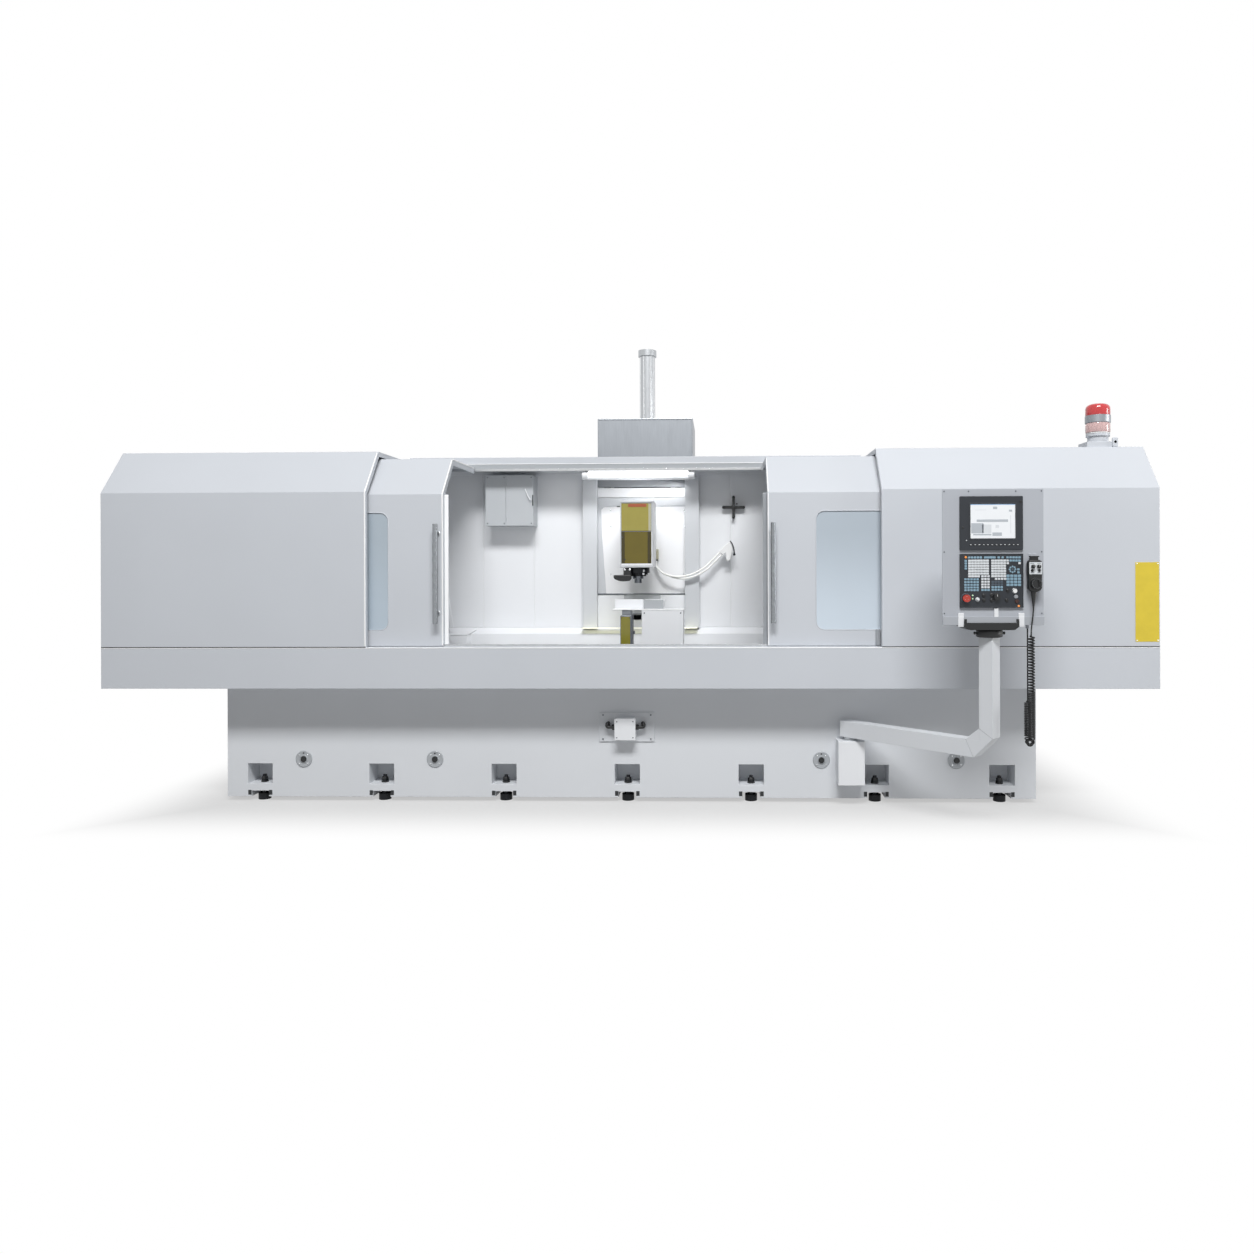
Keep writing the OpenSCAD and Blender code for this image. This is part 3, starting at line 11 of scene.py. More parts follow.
import bpy
import numpy as np
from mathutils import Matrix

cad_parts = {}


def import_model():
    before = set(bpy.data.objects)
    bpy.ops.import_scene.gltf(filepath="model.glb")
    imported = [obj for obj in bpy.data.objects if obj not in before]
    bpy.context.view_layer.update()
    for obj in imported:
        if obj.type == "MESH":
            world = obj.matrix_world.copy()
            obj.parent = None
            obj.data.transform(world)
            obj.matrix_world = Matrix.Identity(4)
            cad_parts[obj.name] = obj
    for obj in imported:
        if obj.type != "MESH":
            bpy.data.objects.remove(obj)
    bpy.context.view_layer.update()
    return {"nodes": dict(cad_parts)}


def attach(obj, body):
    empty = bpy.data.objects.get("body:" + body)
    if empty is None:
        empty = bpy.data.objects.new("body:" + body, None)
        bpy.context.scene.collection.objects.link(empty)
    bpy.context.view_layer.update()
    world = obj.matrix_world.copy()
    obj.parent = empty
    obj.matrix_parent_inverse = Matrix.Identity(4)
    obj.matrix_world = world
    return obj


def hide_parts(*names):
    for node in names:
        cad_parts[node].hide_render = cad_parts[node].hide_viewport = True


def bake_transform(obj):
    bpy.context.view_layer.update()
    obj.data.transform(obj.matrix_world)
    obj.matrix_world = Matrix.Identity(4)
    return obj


LOG = logging.getLogger("grinding_machine")
Array = np.ndarray
Shape = tuple[Array, list[Array]]
Socket = bpy.types.NodeSocket
Tree = bpy.types.NodeTree
Colour = tuple[float, float, float, float]
ORIGIN = (0, 0, 0)
ACROSS, DEEP, UP = (1, 0, 0), (0, 1, 0), (0, 0, 1)
FRONT_PLANE = 742.4215
POST = np.array([2040.04, -469.16, 0.0])
MID_X = 30.0
CORNER_STEPS = 5
RING = 4 * CORNER_STEPS


class Facing(Enum):
    """The side a flat piece looks to, as the machine directions of its own right and up."""

    FRONT = (ACROSS, UP)
    RIGHT = (DEEP, UP)
    LEFT = ((0, -1, 0), UP)
    TOP = (ACROSS, DEEP)

    def axes(self) -> Array:
        """Rows right, up and out, where out is right crossed with up."""
        right, up = (np.array(a, float) for a in self.value)
        return np.stack([right, up, np.cross(right, up)])


def row_frame(points: Array) -> Array:
    """Turns machine millimetres, with depth from the sill's front, into metres of the row frame.

    Args:
        points: Points in the last axis.

    Returns:
        The same points, moved back by the front plane and scaled by a thousandth.
    """
    return (np.asarray(points, float) - np.array([0.0, FRONT_PLANE, 0.0])) * 0.001


def wrapped_quads(rows: int, columns: int, close_rows: bool = False) -> Array:
    """Quads between neighbouring points of a grid whose last column meets its first.

    Args:
        rows: Number of rings.
        columns: Points on each ring.
        close_rows: Joins the last ring to the first as well.

    Returns:
        One row of four point numbers for each quad.
    """
    i = np.arange(rows if close_rows else rows - 1)[:, None]
    j = np.arange(columns)[None, :]
    k, right = (i + 1) % rows, (j + 1) % columns
    corners = [i * columns + j, i * columns + right, k * columns + right, k * columns + j]
    return np.stack(np.broadcast_arrays(*corners), -1).reshape(-1, 4)


def skin(rings: Array) -> Shape:
    """Closed surface through a stack of rings, with a flat cap at both ends.

    Args:
        rings: Points as (ring, place on the ring, xyz), turning left about the stack's direction.

    Returns:
        The points and their faces.
    """
    rows, columns = rings.shape[:2]
    low = np.arange(columns)[::-1][None]
    high = (rows - 1) * columns + np.arange(columns)[None]
    return rings.reshape(-1, 3), [wrapped_quads(rows, columns), low, high]


def turned(profile: Sequence[tuple[float, float]], sides: int = 24) -> Shape:
    """Turned body: each (r, z) of the profile becomes the ring (r cos a, r sin a, z).

    Args:
        profile: Radius and height, from the back to the front.
        sides: Points on each ring.

    Returns:
        The points and their faces.
    """
    r, z = np.array(profile, float).T
    a = np.linspace(0, 2 * math.pi, sides, endpoint=False)
    x, y = r[:, None] * np.cos(a), r[:, None] * np.sin(a)
    return skin(np.stack([x, y, np.broadcast_to(z[:, None], x.shape)], -1))


def loop(width: float, height: float, radius: float) -> Array:
    """Outline of a rectangle with round corners about the origin, turning left.

    Args:
        width: Full width.
        height: Full height.
        radius: Corner radius.

    Returns:
        The points of the outline.
    """
    r = max(min(radius, width / 2 - 0.01, height / 2 - 0.01), 0.01)
    a = (np.linspace(0, math.pi / 2, CORNER_STEPS)[None]
         + np.arange(4)[:, None] * math.pi / 2)
    side = np.array([[1, 1], [-1, 1], [-1, -1], [1, -1]]) * [width / 2 - r, height / 2 - r]
    return (side[:, None] + r * np.stack([np.cos(a), np.sin(a)], -1)).reshape(-1, 2)


def drawn_loops(width: float, height: float, radius: float,
                section: Iterable[tuple[float, float]]) -> list[Array]:
    """Rings of a rounded rectangle: each (inset, z) gives the outline drawn in by that inset.

    Args:
        width: Full width of the outline.
        height: Full height of the outline.
        radius: Radius of its corners.
        section: Insets and heights.

    Returns:
        One ring of points for each pair.
    """
    return [np.c_[loop(width - 2 * i, height - 2 * i, max(radius - i, 0.3)), np.full(RING, z)]
            for i, z in section]


def plate(width: float, height: float, thick: float, radius: float = 2, edge: float = 1) -> Shape:
    """Plate whose front rim is a quarter circle: inset e(1 - cos a), height t - e + e sin a.

    Args:
        width: Full width.
        height: Full height.
        thick: Thickness towards its front.
        radius: Radius of its corners.
        edge: Radius of its front rim.

    Returns:
        The points and their faces, with its back on the plane z = 0.
    """
    a = np.linspace(0, math.pi / 2, 4)
    insets = np.concatenate([[0], edge * (1 - np.cos(a))])
    heights = np.concatenate([[0], thick - edge + edge * np.sin(a)])
    return skin(np.stack(drawn_loops(width, height, radius, zip(insets, heights))))


def rim(width: float, height: float, radius: float,
        section: Sequence[tuple[float, float]]) -> Shape:
    """Closed frame: each (inset, z) of the section becomes the outline drawn in by that inset.

    Args:
        width: Full width of the outline.
        height: Full height of the outline.
        radius: Radius of its corners.
        section: The cross-section, turning left when its outline turns left.

    Returns:
        The points and their faces.
    """
    rings = drawn_loops(width, height, radius, section)
    return np.concatenate(rings), [wrapped_quads(len(section), RING, True)]


def slab(outline: Array | Sequence[tuple[float, float]], thick: float, edge: float = 1) -> Shape:
    """Body drawn out from an outline, with both rims rounded by two cuts.

    An inset moves each corner along the sum of its sides' normals over 1 + their product.

    Args:
        outline: Points turning left.
        thick: Thickness, towards its front.
        edge: How deep the rims are rounded.

    Returns:
        The points and their faces.
    """
    outline = np.array(outline, float)
    side = np.roll(outline, -1, 0) - outline
    normal = np.c_[-side[:, 1], side[:, 0]] / np.linalg.norm(side, axis=1)[:, None]
    before = np.roll(normal, 1, 0)
    inward = (normal + before) / (1 + (normal * before).sum(1))[:, None]
    steps = [(edge, 0), (0.3 * edge, 0.3 * edge), (0, edge), (0, thick - edge),
             (0.3 * edge, thick - 0.3 * edge), (edge, thick)]
    return skin(np.stack([np.c_[outline + i * inward, np.full(len(outline), z)]
                          for i, z in steps]))


def softened(outline: Sequence[tuple[float, float]], share: float) -> Array:
    """Cuts every corner of an outline at a share of its sides, twice over.

    Args:
        outline: Corner points.
        share: Where on each side the cut falls.

    Returns:
        The smoother outline.
    """
    points = np.array(outline, float)
    for _ in range(2):
        ahead = np.roll(points, -1, 0)
        cut = [points * (1 - share) + ahead * share, points * share + ahead * (1 - share)]
        points = np.stack(cut, 1).reshape(-1, 2)
    return points


def tube(path: Array | Sequence, radius: float | Array, sides: int = 10,
         side: Array | tuple = DEEP) -> Shape:
    """Tube: the ring at each path point is p + r (cos a u + sin a (t x u)).

    Here t runs along the path and u is the given side, made square to t.

    Args:
        path: Centre points.
        radius: Radius, one or one for each point.
        sides: Points on each ring.
        side: Direction of the first ring point, one or one for each point.

    Returns:
        The points and their faces.
    """
    path = np.asarray(path, float)
    t = np.gradient(path, axis=0)
    t /= np.linalg.norm(t, axis=1)[:, None]
    ref = np.broadcast_to(np.asarray(side, float), path.shape)
    u = ref - (ref * t).sum(1)[:, None] * t
    u /= np.linalg.norm(u, axis=1)[:, None]
    a = np.linspace(0, 2 * math.pi, sides, endpoint=False)[None, :, None]
    r = np.broadcast_to(np.asarray(radius, float), len(path))[:, None, None]
    return skin(path[:, None] + r * (np.cos(a) * u[:, None] + np.sin(a) * np.cross(t, u)[:, None]))


def bent(corners: Sequence[Sequence[float]], radius: float) -> Array:
    """Path through corner points, each replaced by a parabola of seven points touching both sides.

    Args:
        corners: The corner points.
        radius: How far before and after each corner the bend starts and ends.

    Returns:
        The path's points.
    """
    c = np.array(corners, float)
    before, middle, after = c[:-2], c[1:-1], c[2:]
    start = middle + radius * (before - middle) / np.linalg.norm(before - middle, axis=1)[:, None]
    end = middle + radius * (after - middle) / np.linalg.norm(after - middle, axis=1)[:, None]
    s = np.linspace(0, 1, 7)[None, :, None]
    arcs = (1 - s) ** 2 * start[:, None] + 2 * s * (1 - s) * middle[:, None] + s * s * end[:, None]
    return np.concatenate([c[:1], arcs.reshape(-1, 3), c[-1:]])


def through(points: Array | Sequence[Sequence[float]]) -> Array:
    """Smooth path through points, in four steps for each stretch.

    On each stretch runs a cubic whose slope at a point is half its neighbours' span.

    Args:
        points: The points it passes.

    Returns:
        The path's points.
    """
    p = np.array(points, float)
    q = np.concatenate([[2 * p[0] - p[1]], p, [2 * p[-1] - p[-2]]])
    a, b, c, d = (q[i:len(q) - 3 + i, None] for i in range(4))
    s = np.linspace(0, 1, 4, endpoint=False)[None, :, None]
    curve = (2 * b + (c - a) * s + (2 * a - 5 * b + 4 * c - d) * s ** 2
             + (3 * b - a - 3 * c + d) * s ** 3) / 2
    return np.concatenate([curve.reshape(-1, 3), p[-1:]])


def on_circle(middle: Sequence[float], radius: float, degrees: Iterable[float],
              flat: bool = False) -> Array:
    """Places round a middle: middle + r (cos a, 0, sin a), or (cos a, sin a, 0) when flat.

    Args:
        middle: The circle's middle.
        radius: Its radius.
        degrees: Angles of the places.
        flat: Lays the circle level instead of upright.

    Returns:
        One place in each row.
    """
    a = np.radians(np.array(list(degrees), float))
    x, y = radius * np.cos(a), radius * np.sin(a)
    return np.array(middle, float) + np.stack([x, y, 0 * a] if flat else [x, 0 * a, y], 1)


def screw(diameter: float, height: float) -> Shape:
    """Screw head with a socket in its face, as a turned profile.

    Args:
        diameter: Head diameter.
        height: Head height.

    Returns:
        The points and their faces.
    """
    r = diameter / 2
    return turned([(r, 0), (r, 0.65 * height), (0.86 * r, height), (0.5 * r, height),
                   (0.46 * r, 0.35 * height)], 12)


@dataclass
class Draft:
    """Points and faces of one piece while it grows, in machine millimetres from an origin."""

    name: str
    origin: Array | tuple = ORIGIN
    points: list[Array] = field(default_factory=list)
    faces: list[list[int]] = field(default_factory=list)
    finish_of: list[int] = field(default_factory=list)
    count: int = 0

    def put(self, shape: Shape, at: Sequence | Array = ORIGIN, facing: Facing = Facing.TOP,
            finish: int = 0) -> Draft:
        """Sets one shape at one place, or the same shape at many.

        Args:
            shape: Points and faces.
            at: One place, or one place in each row.
            facing: The side it looks to.
            finish: Number of the finish that it wears.

        Returns:
            The draft itself.
        """
        points, groups = shape
        places = np.atleast_2d(np.asarray(at, float)) + self.origin
        self.points.append((places[:, None] + (points @ facing.axes())[None]).reshape(-1, 3))
        shift = (self.count + np.arange(len(places)) * len(points))[:, None, None]
        for group in groups:
            more = (group[None] + shift).reshape(-1, group.shape[1]).tolist()
            self.faces.extend(more)
            self.finish_of.extend([finish] * len(more))
        self.count += len(places) * len(points)
        return self

    def front(self, *rows: tuple[Shape, Sequence | Array, int]) -> Draft:
        """Sets shapes that look to the front.

        Args:
            rows: A shape, its place or places, and the number of its finish.

        Returns:
            The draft itself.
        """
        for shape, at, finish in rows:
            self.put(shape, at, Facing.FRONT, finish)
        return self

    def build(self, body: str | None, finishes: Sequence[bpy.types.Material],
              replaces: Sequence[str] = (), sharp: float = 38) -> bpy.types.Object:
        """Makes the piece's mesh and object, and lets it ride on its body.

        Args:
            body: Name of the body, or None to leave the piece on no body.
            finishes: The materials, in the order of their numbers.
            replaces: CAD nodes that the piece stands for.
            sharp: Angle in degrees above which an edge stays sharp.

        Returns:
            The finished object.
        """
        mesh = bpy.data.meshes.new(self.name)
        mesh.from_pydata(row_frame(np.concatenate(self.points)).tolist(), [], self.faces)
        for finish in finishes:
            mesh.materials.append(finish)
        mesh.polygons.foreach_set("material_index", np.array(self.finish_of, np.int32))
        mesh.set_sharp_from_angle(angle=math.radians(sharp))
        mesh.polygons.foreach_set("use_smooth", np.array([len(f) < 5 for f in self.faces]))
        mesh.update()
        piece = bpy.data.objects.new(self.name, mesh)
        bpy.context.scene.collection.objects.link(piece)
        if body:
            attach(piece, body)
        if replaces:
            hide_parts(*replaces)
        LOG.info("%s: %d faces on %s", self.name, len(self.faces), body or "two bodies")
        return piece


def linear(colour: str, factor: float = 1.0) -> Colour:
    """Turns an sRGB hex colour into the shader's linear values, made lighter or darker.

    Args:
        colour: Colour as #RRGGBB.
        factor: What the linear values are multiplied by, up to 1.

    Returns:
        Red, green, blue and one.
    """
    s = np.array([int(colour[i:i + 2], 16) for i in (1, 3, 5)]) / 255
    low, high = s / 12.92, ((s + 0.055) / 1.055) ** 2.4
    return (*np.minimum(1.0, np.where(s <= 0.04045, low, high) * factor).tolist(), 1.0)


def add(tree: Tree, kind: str, settings: dict | None = None, links: dict | None = None,
        **attributes: object) -> bpy.types.Node:
    """Adds one node with its settings and links.

    Args:
        tree: The tree it goes into.
        kind: Its type name.
        settings: Values of its sockets, by name or number.
        links: Sockets that feed its sockets, by name or number.
        attributes: Its own options.

    Returns:
        The node.
    """
    made = tree.nodes.new(kind)
    for key, value in attributes.items():
        setattr(made, key, value)
    for key, value in (settings or {}).items():
        made.inputs[key].default_value = value
    for key, socket in (links or {}).items():
        tree.links.new(socket, made.inputs[key])
    return made


def object_noise(tree: Tree, size_mm: float, detail: float = 2,
                 stretch: tuple[float, float, float] = (1, 1, 1)) -> Socket:
    """Noise on Object coordinates whose grain has a size in millimetres.

    Args:
        tree: The material's tree.
        size_mm: Size of one grain.
        detail: Finer layers on top.
        stretch: How much shorter the grain is along each axis.

    Returns:
        The noise's value socket.
    """
    place = add(tree, "ShaderNodeTexCoord").outputs["Object"]
    scaled = add(tree, "ShaderNodeMapping", {"Scale": stretch}, {"Vector": place})
    return add(tree, "ShaderNodeTexNoise", {"Scale": 1000 / size_mm, "Detail": detail},
               {"Vector": scaled.outputs[0]}).outputs["Fac"]


@dataclass(frozen=True)
class Finish:
    """Common part of every finish: a name, a colour and a roughness on one shader."""

    name: str
    colour: str
    rough: float = 0.5
    metal: float = 0.0

    def make(self) -> bpy.types.Material:
        """Makes the material: its even values first, then the pattern that feeds the shader.

        Returns:
            The material.
        """
        material = bpy.data.materials.new(self.name)
        material.use_nodes = True
        material.diffuse_color = linear(self.colour)
        tree = material.node_tree
        inputs = tree.nodes["Principled BSDF"].inputs
        even = {"Base Color": linear(self.colour), "Roughness": self.rough,
                "Metallic": self.metal, **self.even()}
        for key, value in even.items():
            inputs[key].default_value = value
        for key, socket in self.pattern(tree).items():
            tree.links.new(socket, inputs[key])
        return material

    def even(self) -> dict[str, object]:
        """Further values of the shader; a plain finish has none."""
        return {}

    def pattern(self, tree: Tree) -> dict[str, Socket]:
        """Sockets that feed the shader, by its inputs' names; a plain finish has none."""
        return {}


@dataclass(frozen=True)
class PowderCoat(Finish):
    """Powder coat on folded sheet: even and pale, a faint peel, and a painted highlight on its
    folds.
    """

    peel_mm: float = 3.0
    fold_mm: float = 4.0
    painted_fold_highlight: float = 1.22

    def pattern(self, tree: Tree) -> dict[str, Socket]:
        """Tone drifts over half a metre, folds are lightened as a painted highlight, the peel is a
        fine bump.
        """
        drift = object_noise(tree, 620)
        base = add(tree, "ShaderNodeMix", {6: linear(self.colour, 0.965),
                                           7: linear(self.colour, 1.035)},
                   {0: drift}, data_type="RGBA")
        fold = add(tree, "ShaderNodeBevel", {"Radius": self.fold_mm / 1000}, samples=6).outputs[0]
        flat = add(tree, "ShaderNodeNewGeometry").outputs["Normal"]
        same = add(tree, "ShaderNodeVectorMath", None, {0: fold, 1: flat}, operation="DOT_PRODUCT")
        # Near every edge the colour is lightened: a painted highlight on the folds.
        edge = add(tree, "ShaderNodeMapRange", {"From Min": 0.997, "From Max": 0.86},
                   {"Value": same.outputs["Value"]})
        light = add(tree, "ShaderNodeMix", {7: linear(self.colour, self.painted_fold_highlight)},
                    {0: edge.outputs[0], 6: base.outputs[2]}, data_type="RGBA")
        rough = add(tree, "ShaderNodeMapRange",
                    {"To Min": self.rough - 0.05, "To Max": self.rough + 0.05}, {"Value": drift})
        peel = add(tree, "ShaderNodeBump", {"Strength": 0.05, "Distance": 0.0004},
                   {"Height": object_noise(tree, self.peel_mm, 1), "Normal": fold})
        return {"Base Color": light.outputs[2], "Roughness": rough.outputs[0],
                "Normal": peel.outputs[0]}


@dataclass(frozen=True)
class Metal(Finish):
    """Brushed or ground metal: bright, with fine lines along one direction."""

    metal: float = 1.0
    line_mm: float = 1.5
    lines: tuple[float, float, float] = (1, 1, 0.03)
    contrast: float = 0.12

    def pattern(self, tree: Tree) -> dict[str, Socket]:
        """Stretched noise gives the lines, in tone, roughness and a slight bump."""
        line = object_noise(tree, self.line_mm, 3, self.lines)
        base = add(tree, "ShaderNodeMix", {6: linear(self.colour, 1 - self.contrast),
                                           7: linear(self.colour, 1 + self.contrast)},
                   {0: line}, data_type="RGBA")
        rough = add(tree, "ShaderNodeMapRange", {"To Min": max(0.05, self.rough - 0.12),
                                                 "To Max": self.rough + 0.12}, {"Value": line})
        edge = add(tree, "ShaderNodeBevel", {"Radius": 0.0012}, samples=4)
        bump = add(tree, "ShaderNodeBump", {"Strength": 0.08, "Distance": 0.0002},
                   {"Height": line, "Normal": edge.outputs[0]})
        return {"Base Color": base.outputs[2], "Roughness": rough.outputs[0],
                "Normal": bump.outputs[0]}


@dataclass(frozen=True)
class Moulded(Finish):
    """Moulded or cast non-metal: a fine grain, and edges rounded by the mould."""

    grain_mm: float = 0.8
    grain: float = 0.12
    gloss_coat: float = 0.0

    def even(self) -> dict[str, object]:
        """The gloss of the mould's polish."""
        return {"Coat Weight": self.gloss_coat, "Coat Roughness": 0.08}

    def pattern(self, tree: Tree) -> dict[str, Socket]:
        """Grain as a bump with a slight change of tone."""
        base = add(tree, "ShaderNodeMix", {6: linear(self.colour, 0.92),
                                           7: linear(self.colour, 1.08)},
                   {0: object_noise(tree, 60)}, data_type="RGBA")
        edge = add(tree, "ShaderNodeBevel", {"Radius": 0.001}, samples=4)
        bump = add(tree, "ShaderNodeBump", {"Strength": self.grain, "Distance": 0.0002},
                   {"Height": object_noise(tree, self.grain_mm), "Normal": edge.outputs[0]})
        return {"Base Color": base.outputs[2], "Normal": bump.outputs[0]}


@dataclass(frozen=True)
class Pane(Finish):
    """Tinted sheet, lighter towards its foot as a painted reflection."""

    # Colour at the foot: painted reflection.
    foot: str = "#C6D3DD"
    low_mm: float = 1087
    high_mm: float = 1803

    def even(self) -> dict[str, object]:
        """A thin clear skin."""
        return {"Coat Weight": 0.5, "Coat Roughness": 0.03}

    def pattern(self, tree: Tree) -> dict[str, Socket]:
        """Colour runs from the tint at the top to a lighter foot, a painted reflection, with faint
        smears.
        """
        place = add(tree, "ShaderNodeTexCoord").outputs["Object"]
        height = add(tree, "ShaderNodeSeparateXYZ", None, {0: place}).outputs["Z"]
        share = add(tree, "ShaderNodeMapRange",
                    {"From Min": self.low_mm / 1000, "From Max": self.high_mm / 1000},
                    {"Value": height}, interpolation_type="SMOOTHSTEP")
        smear = object_noise(tree, 240, 3, (1, 1, 0.4))
        mixed = add(tree, "ShaderNodeMath", {1: 0.16}, {0: smear, 2: share.outputs[0]},
                    operation="MULTIPLY_ADD")
        tint = add(tree, "ShaderNodeMix", {6: linear(self.foot), 7: linear(self.colour)},
                   {0: mixed.outputs[0]}, data_type="RGBA")
        return {"Base Color": tint.outputs[2]}


@dataclass(frozen=True)
class Glow(Finish):
    """Face that gives off an even light: a lamp's diffuser, a screen, or a sheet that glows as
    painted light.
    """

    strength: float = 1.0

    def even(self) -> dict[str, object]:
        """The shader's own emission carries the light."""
        return {"Emission Color": linear(self.colour), "Emission Strength": self.strength}

    def pattern(self, tree: Tree) -> dict[str, Socket]:
        """A faint cloud in the glass."""
        cloud = add(tree, "ShaderNodeMix", {6: linear(self.colour, 0.96),
                                            7: linear(self.colour)},
                    {0: object_noise(tree, 30, 1)}, data_type="RGBA")
        return {"Base Color": cloud.outputs[2]}


@dataclass(frozen=True)
class Clear(Finish):
    """Moulded clear lens: tinted, with some light through it and a glossy skin."""

    through: float = 0.4

    def even(self) -> dict[str, object]:
        """Acrylic bends light by 1.49 and lets a share of it through."""
        return {"IOR": 1.49, "Transmission Weight": self.through, "Coat Weight": 0.6,
                "Coat Roughness": 0.05}

    def pattern(self, tree: Tree) -> dict[str, Socket]:
        """Fine vertical prisms show as lines in the tint."""
        prism = add(tree, "ShaderNodeMix", {6: linear(self.colour, 0.85),
                                            7: linear(self.colour, 1.15)},
                    {0: object_noise(tree, 8, 1, (1, 1, 0.02))}, data_type="RGBA")
        return {"Base Color": prism.outputs[2]}


# Powder coat and enamel on sheet and castings: pale and satin, with a painted highlight that makes
# every fold a little lighter.
# Its real peel is too fine to show, so it is drawn at 3 mm and more.
ENCLOSURE = PowderCoat("pale_grey_powder_coat", "#C9CDD3", 0.46)
INNER_WHITE = PowderCoat("white_powder_coat", "#E8EAED", 0.42)
# Near-white: plain white on the lamp brackets, and a painted highlight on hems, lips and edge
# strips.
WHITE_AND_HIGHLIGHT = PowderCoat("white_and_painted_highlight", "#FAFBFC", 0.38, painted_fold_highlight=1.0)
CASTING = PowderCoat("pale_casting_enamel", "#DDE0E4", 0.52, peel_mm=6.0, fold_mm=3.0)
CARRIAGE_PAINT = PowderCoat("carriage_white_enamel", "#EDEEF0", 0.42)
THIN_PLATE = PowderCoat("thin_grey_plate", "#D9DCE0", 0.45)
# Light grey enamel on the carriage and the head's frame; on the carriage's band it is painted
# shade.
GREY_ENAMEL_AND_SHADE = PowderCoat("light_grey_enamel_and_painted_shade", "#C9CCD0", 0.44)
# White darkened as painted shade, for the guard pillars.
PILLAR_SHADED_WHITE = PowderCoat("pillar_white_painted_shade", "#CCCFD3", 0.42)
BEAM_SHADE = PowderCoat("shaded_beam_grey", "#A6AAAE", 0.46)
# Grey enamel on the head pane's rim, and painted shade on the dresser box.
GREY_RIM_AND_SHADE = PowderCoat("grey_rim_enamel_and_painted_shade", "#A9ADB1", 0.42)
# Dark grey sheet that stands for the shade above the carriage.
SHADE_SHEET_GREY = PowderCoat("dark_grey_sheet_painted_shade", "#85888C", 0.5)
# Grey darkened as painted shade from the beam, for the junction box.
BOX_SHADED_GREY = PowderCoat("junction_box_painted_shade_grey", "#B9BDC1", 0.44, fold_mm=3.0)
ARM_WHITE = PowderCoat("arm_white_powder_coat", "#D8DBDF", 0.36, fold_mm=3.0)
CABINET_GREY = PowderCoat("cabinet_grey_powder_coat", "#AFB3BA", 0.42, fold_mm=2.0)
STRIP_GREY = PowderCoat("lower_strip_grey", "#A9ADB3", 0.42, fold_mm=1.0)
# Brushed, ground and plated metal: bright, streaked along the tool's way, and it shows the room.
# Real lines are finer than a tenth of a millimetre, so they are drawn at 1.5 mm and more.
STAINLESS = Metal("brushed_stainless", "#B9BCBF", 0.3)
TOP_BOX = Metal("brushed_grey_housing", "#94989D", 0.42, line_mm=3.0)
STEEL = Metal("ground_steel", "#C4C6C8", 0.28, lines=(0.03, 1, 1))
SILVER_BOLT = Metal("zinc_plated_bolt", "#DCDEE0", 0.25, contrast=0.05)
GREY_BOLT = Metal("dull_steel_screw", "#6F7478", 0.4, contrast=0.06)
BLACKENED = Metal("blackened_steel", "#1B1D20", 0.38, metal=0.6, contrast=0.25)
KHAKI = Metal("passivated_manifold", "#B9B6A0", 0.4, contrast=0.06)
HANDLE_TUBE = Metal("satin_handle_tube", "#8F9397", 0.26)
NOSE_STEEL = Metal("dark_ground_nose", "#6C7075", 0.3, contrast=0.3)
# Moulded plastic, rubber and cloth: dull or with a soft shine, and no streaks.
# The real grain is too fine to show, so it is drawn at 0.8 mm and more.
BLACK = Moulded("black_glass_filled_plastic", "#0F1113", 0.42)
PANEL_BLACK = Moulded("dark_panel_film", "#1A1F26", 0.5, grain=0.05)
# Dark rubber for seals, also used for dark plates that stand for shade.
DARK_SEAL_AND_SHADE = Moulded("dark_rubber_and_painted_shade", "#2A2C2E", 0.7)
GREY_STRIP = Moulded("grey_edge_strip", "#9A9EA3", 0.55)
GREY_DISC = Moulded("grey_socket_disc", "#A9ADB1", 0.4, gloss_coat=0.3)
CORD = Moulded("black_cord_jacket", "#0E0F10", 0.62, grain=0.2)
HOSE = Moulded("white_pvc_hose", "#F6F6F3", 0.3, gloss_coat=0.3)
WHITE_PLASTIC = Moulded("white_moulded_plastic", "#EDEEEE", 0.35)
RED_PLASTIC = Moulded("red_moulded_plastic", "#B0382A", 0.35, gloss_coat=0.3)
BELLOWS = Moulded("coated_bellows_cloth", "#55595D", 0.72, grain_mm=1.6, grain=0.4)
WARM_STRIP = Moulded("red_brown_strip", "#A5532F", 0.35, gloss_coat=0.4)
SLATE = Moulded("slate_grey_side", "#5E636B", 0.45)
YELLOW = Moulded("yellow_anodised_plate", "#D9C23E", 0.4, grain=0.05)
KEY_WHITE = Moulded("white_key_cap", "#DBDFE3", 0.4)
KEY_BLUE = Moulded("blue_grey_key_cap", "#86A5B7", 0.4)
KEY_DARK = Moulded("dark_key_cap", "#4A5560", 0.45)
BROWN_BUTTON = Moulded("dark_brown_button", "#3A211C", 0.4)
# Acrylic sheet: glossy; lit and shaded copies of one amber, with the lower pane and side strips
# painted darker as shade and one strip painted lighter as a highlight.
AMBER = Moulded("amber_acrylic_sheet", "#A2984A", 0.14, grain=0.05)
AMBER_SHADED = Moulded("amber_acrylic_painted_dark", "#6A5E17", 0.14, grain=0.05)
AMBER_SHADE = Moulded("amber_acrylic_side", "#3B3410", 0.16, grain=0.05)
AMBER_HIGHLIT = Moulded("amber_acrylic_painted_highlight", "#B7B59C", 0.14, grain=0.03, gloss_coat=0.8)
AMBER_GREEN = Moulded("amber_acrylic_green", "#837D2C", 0.14, grain=0.05)
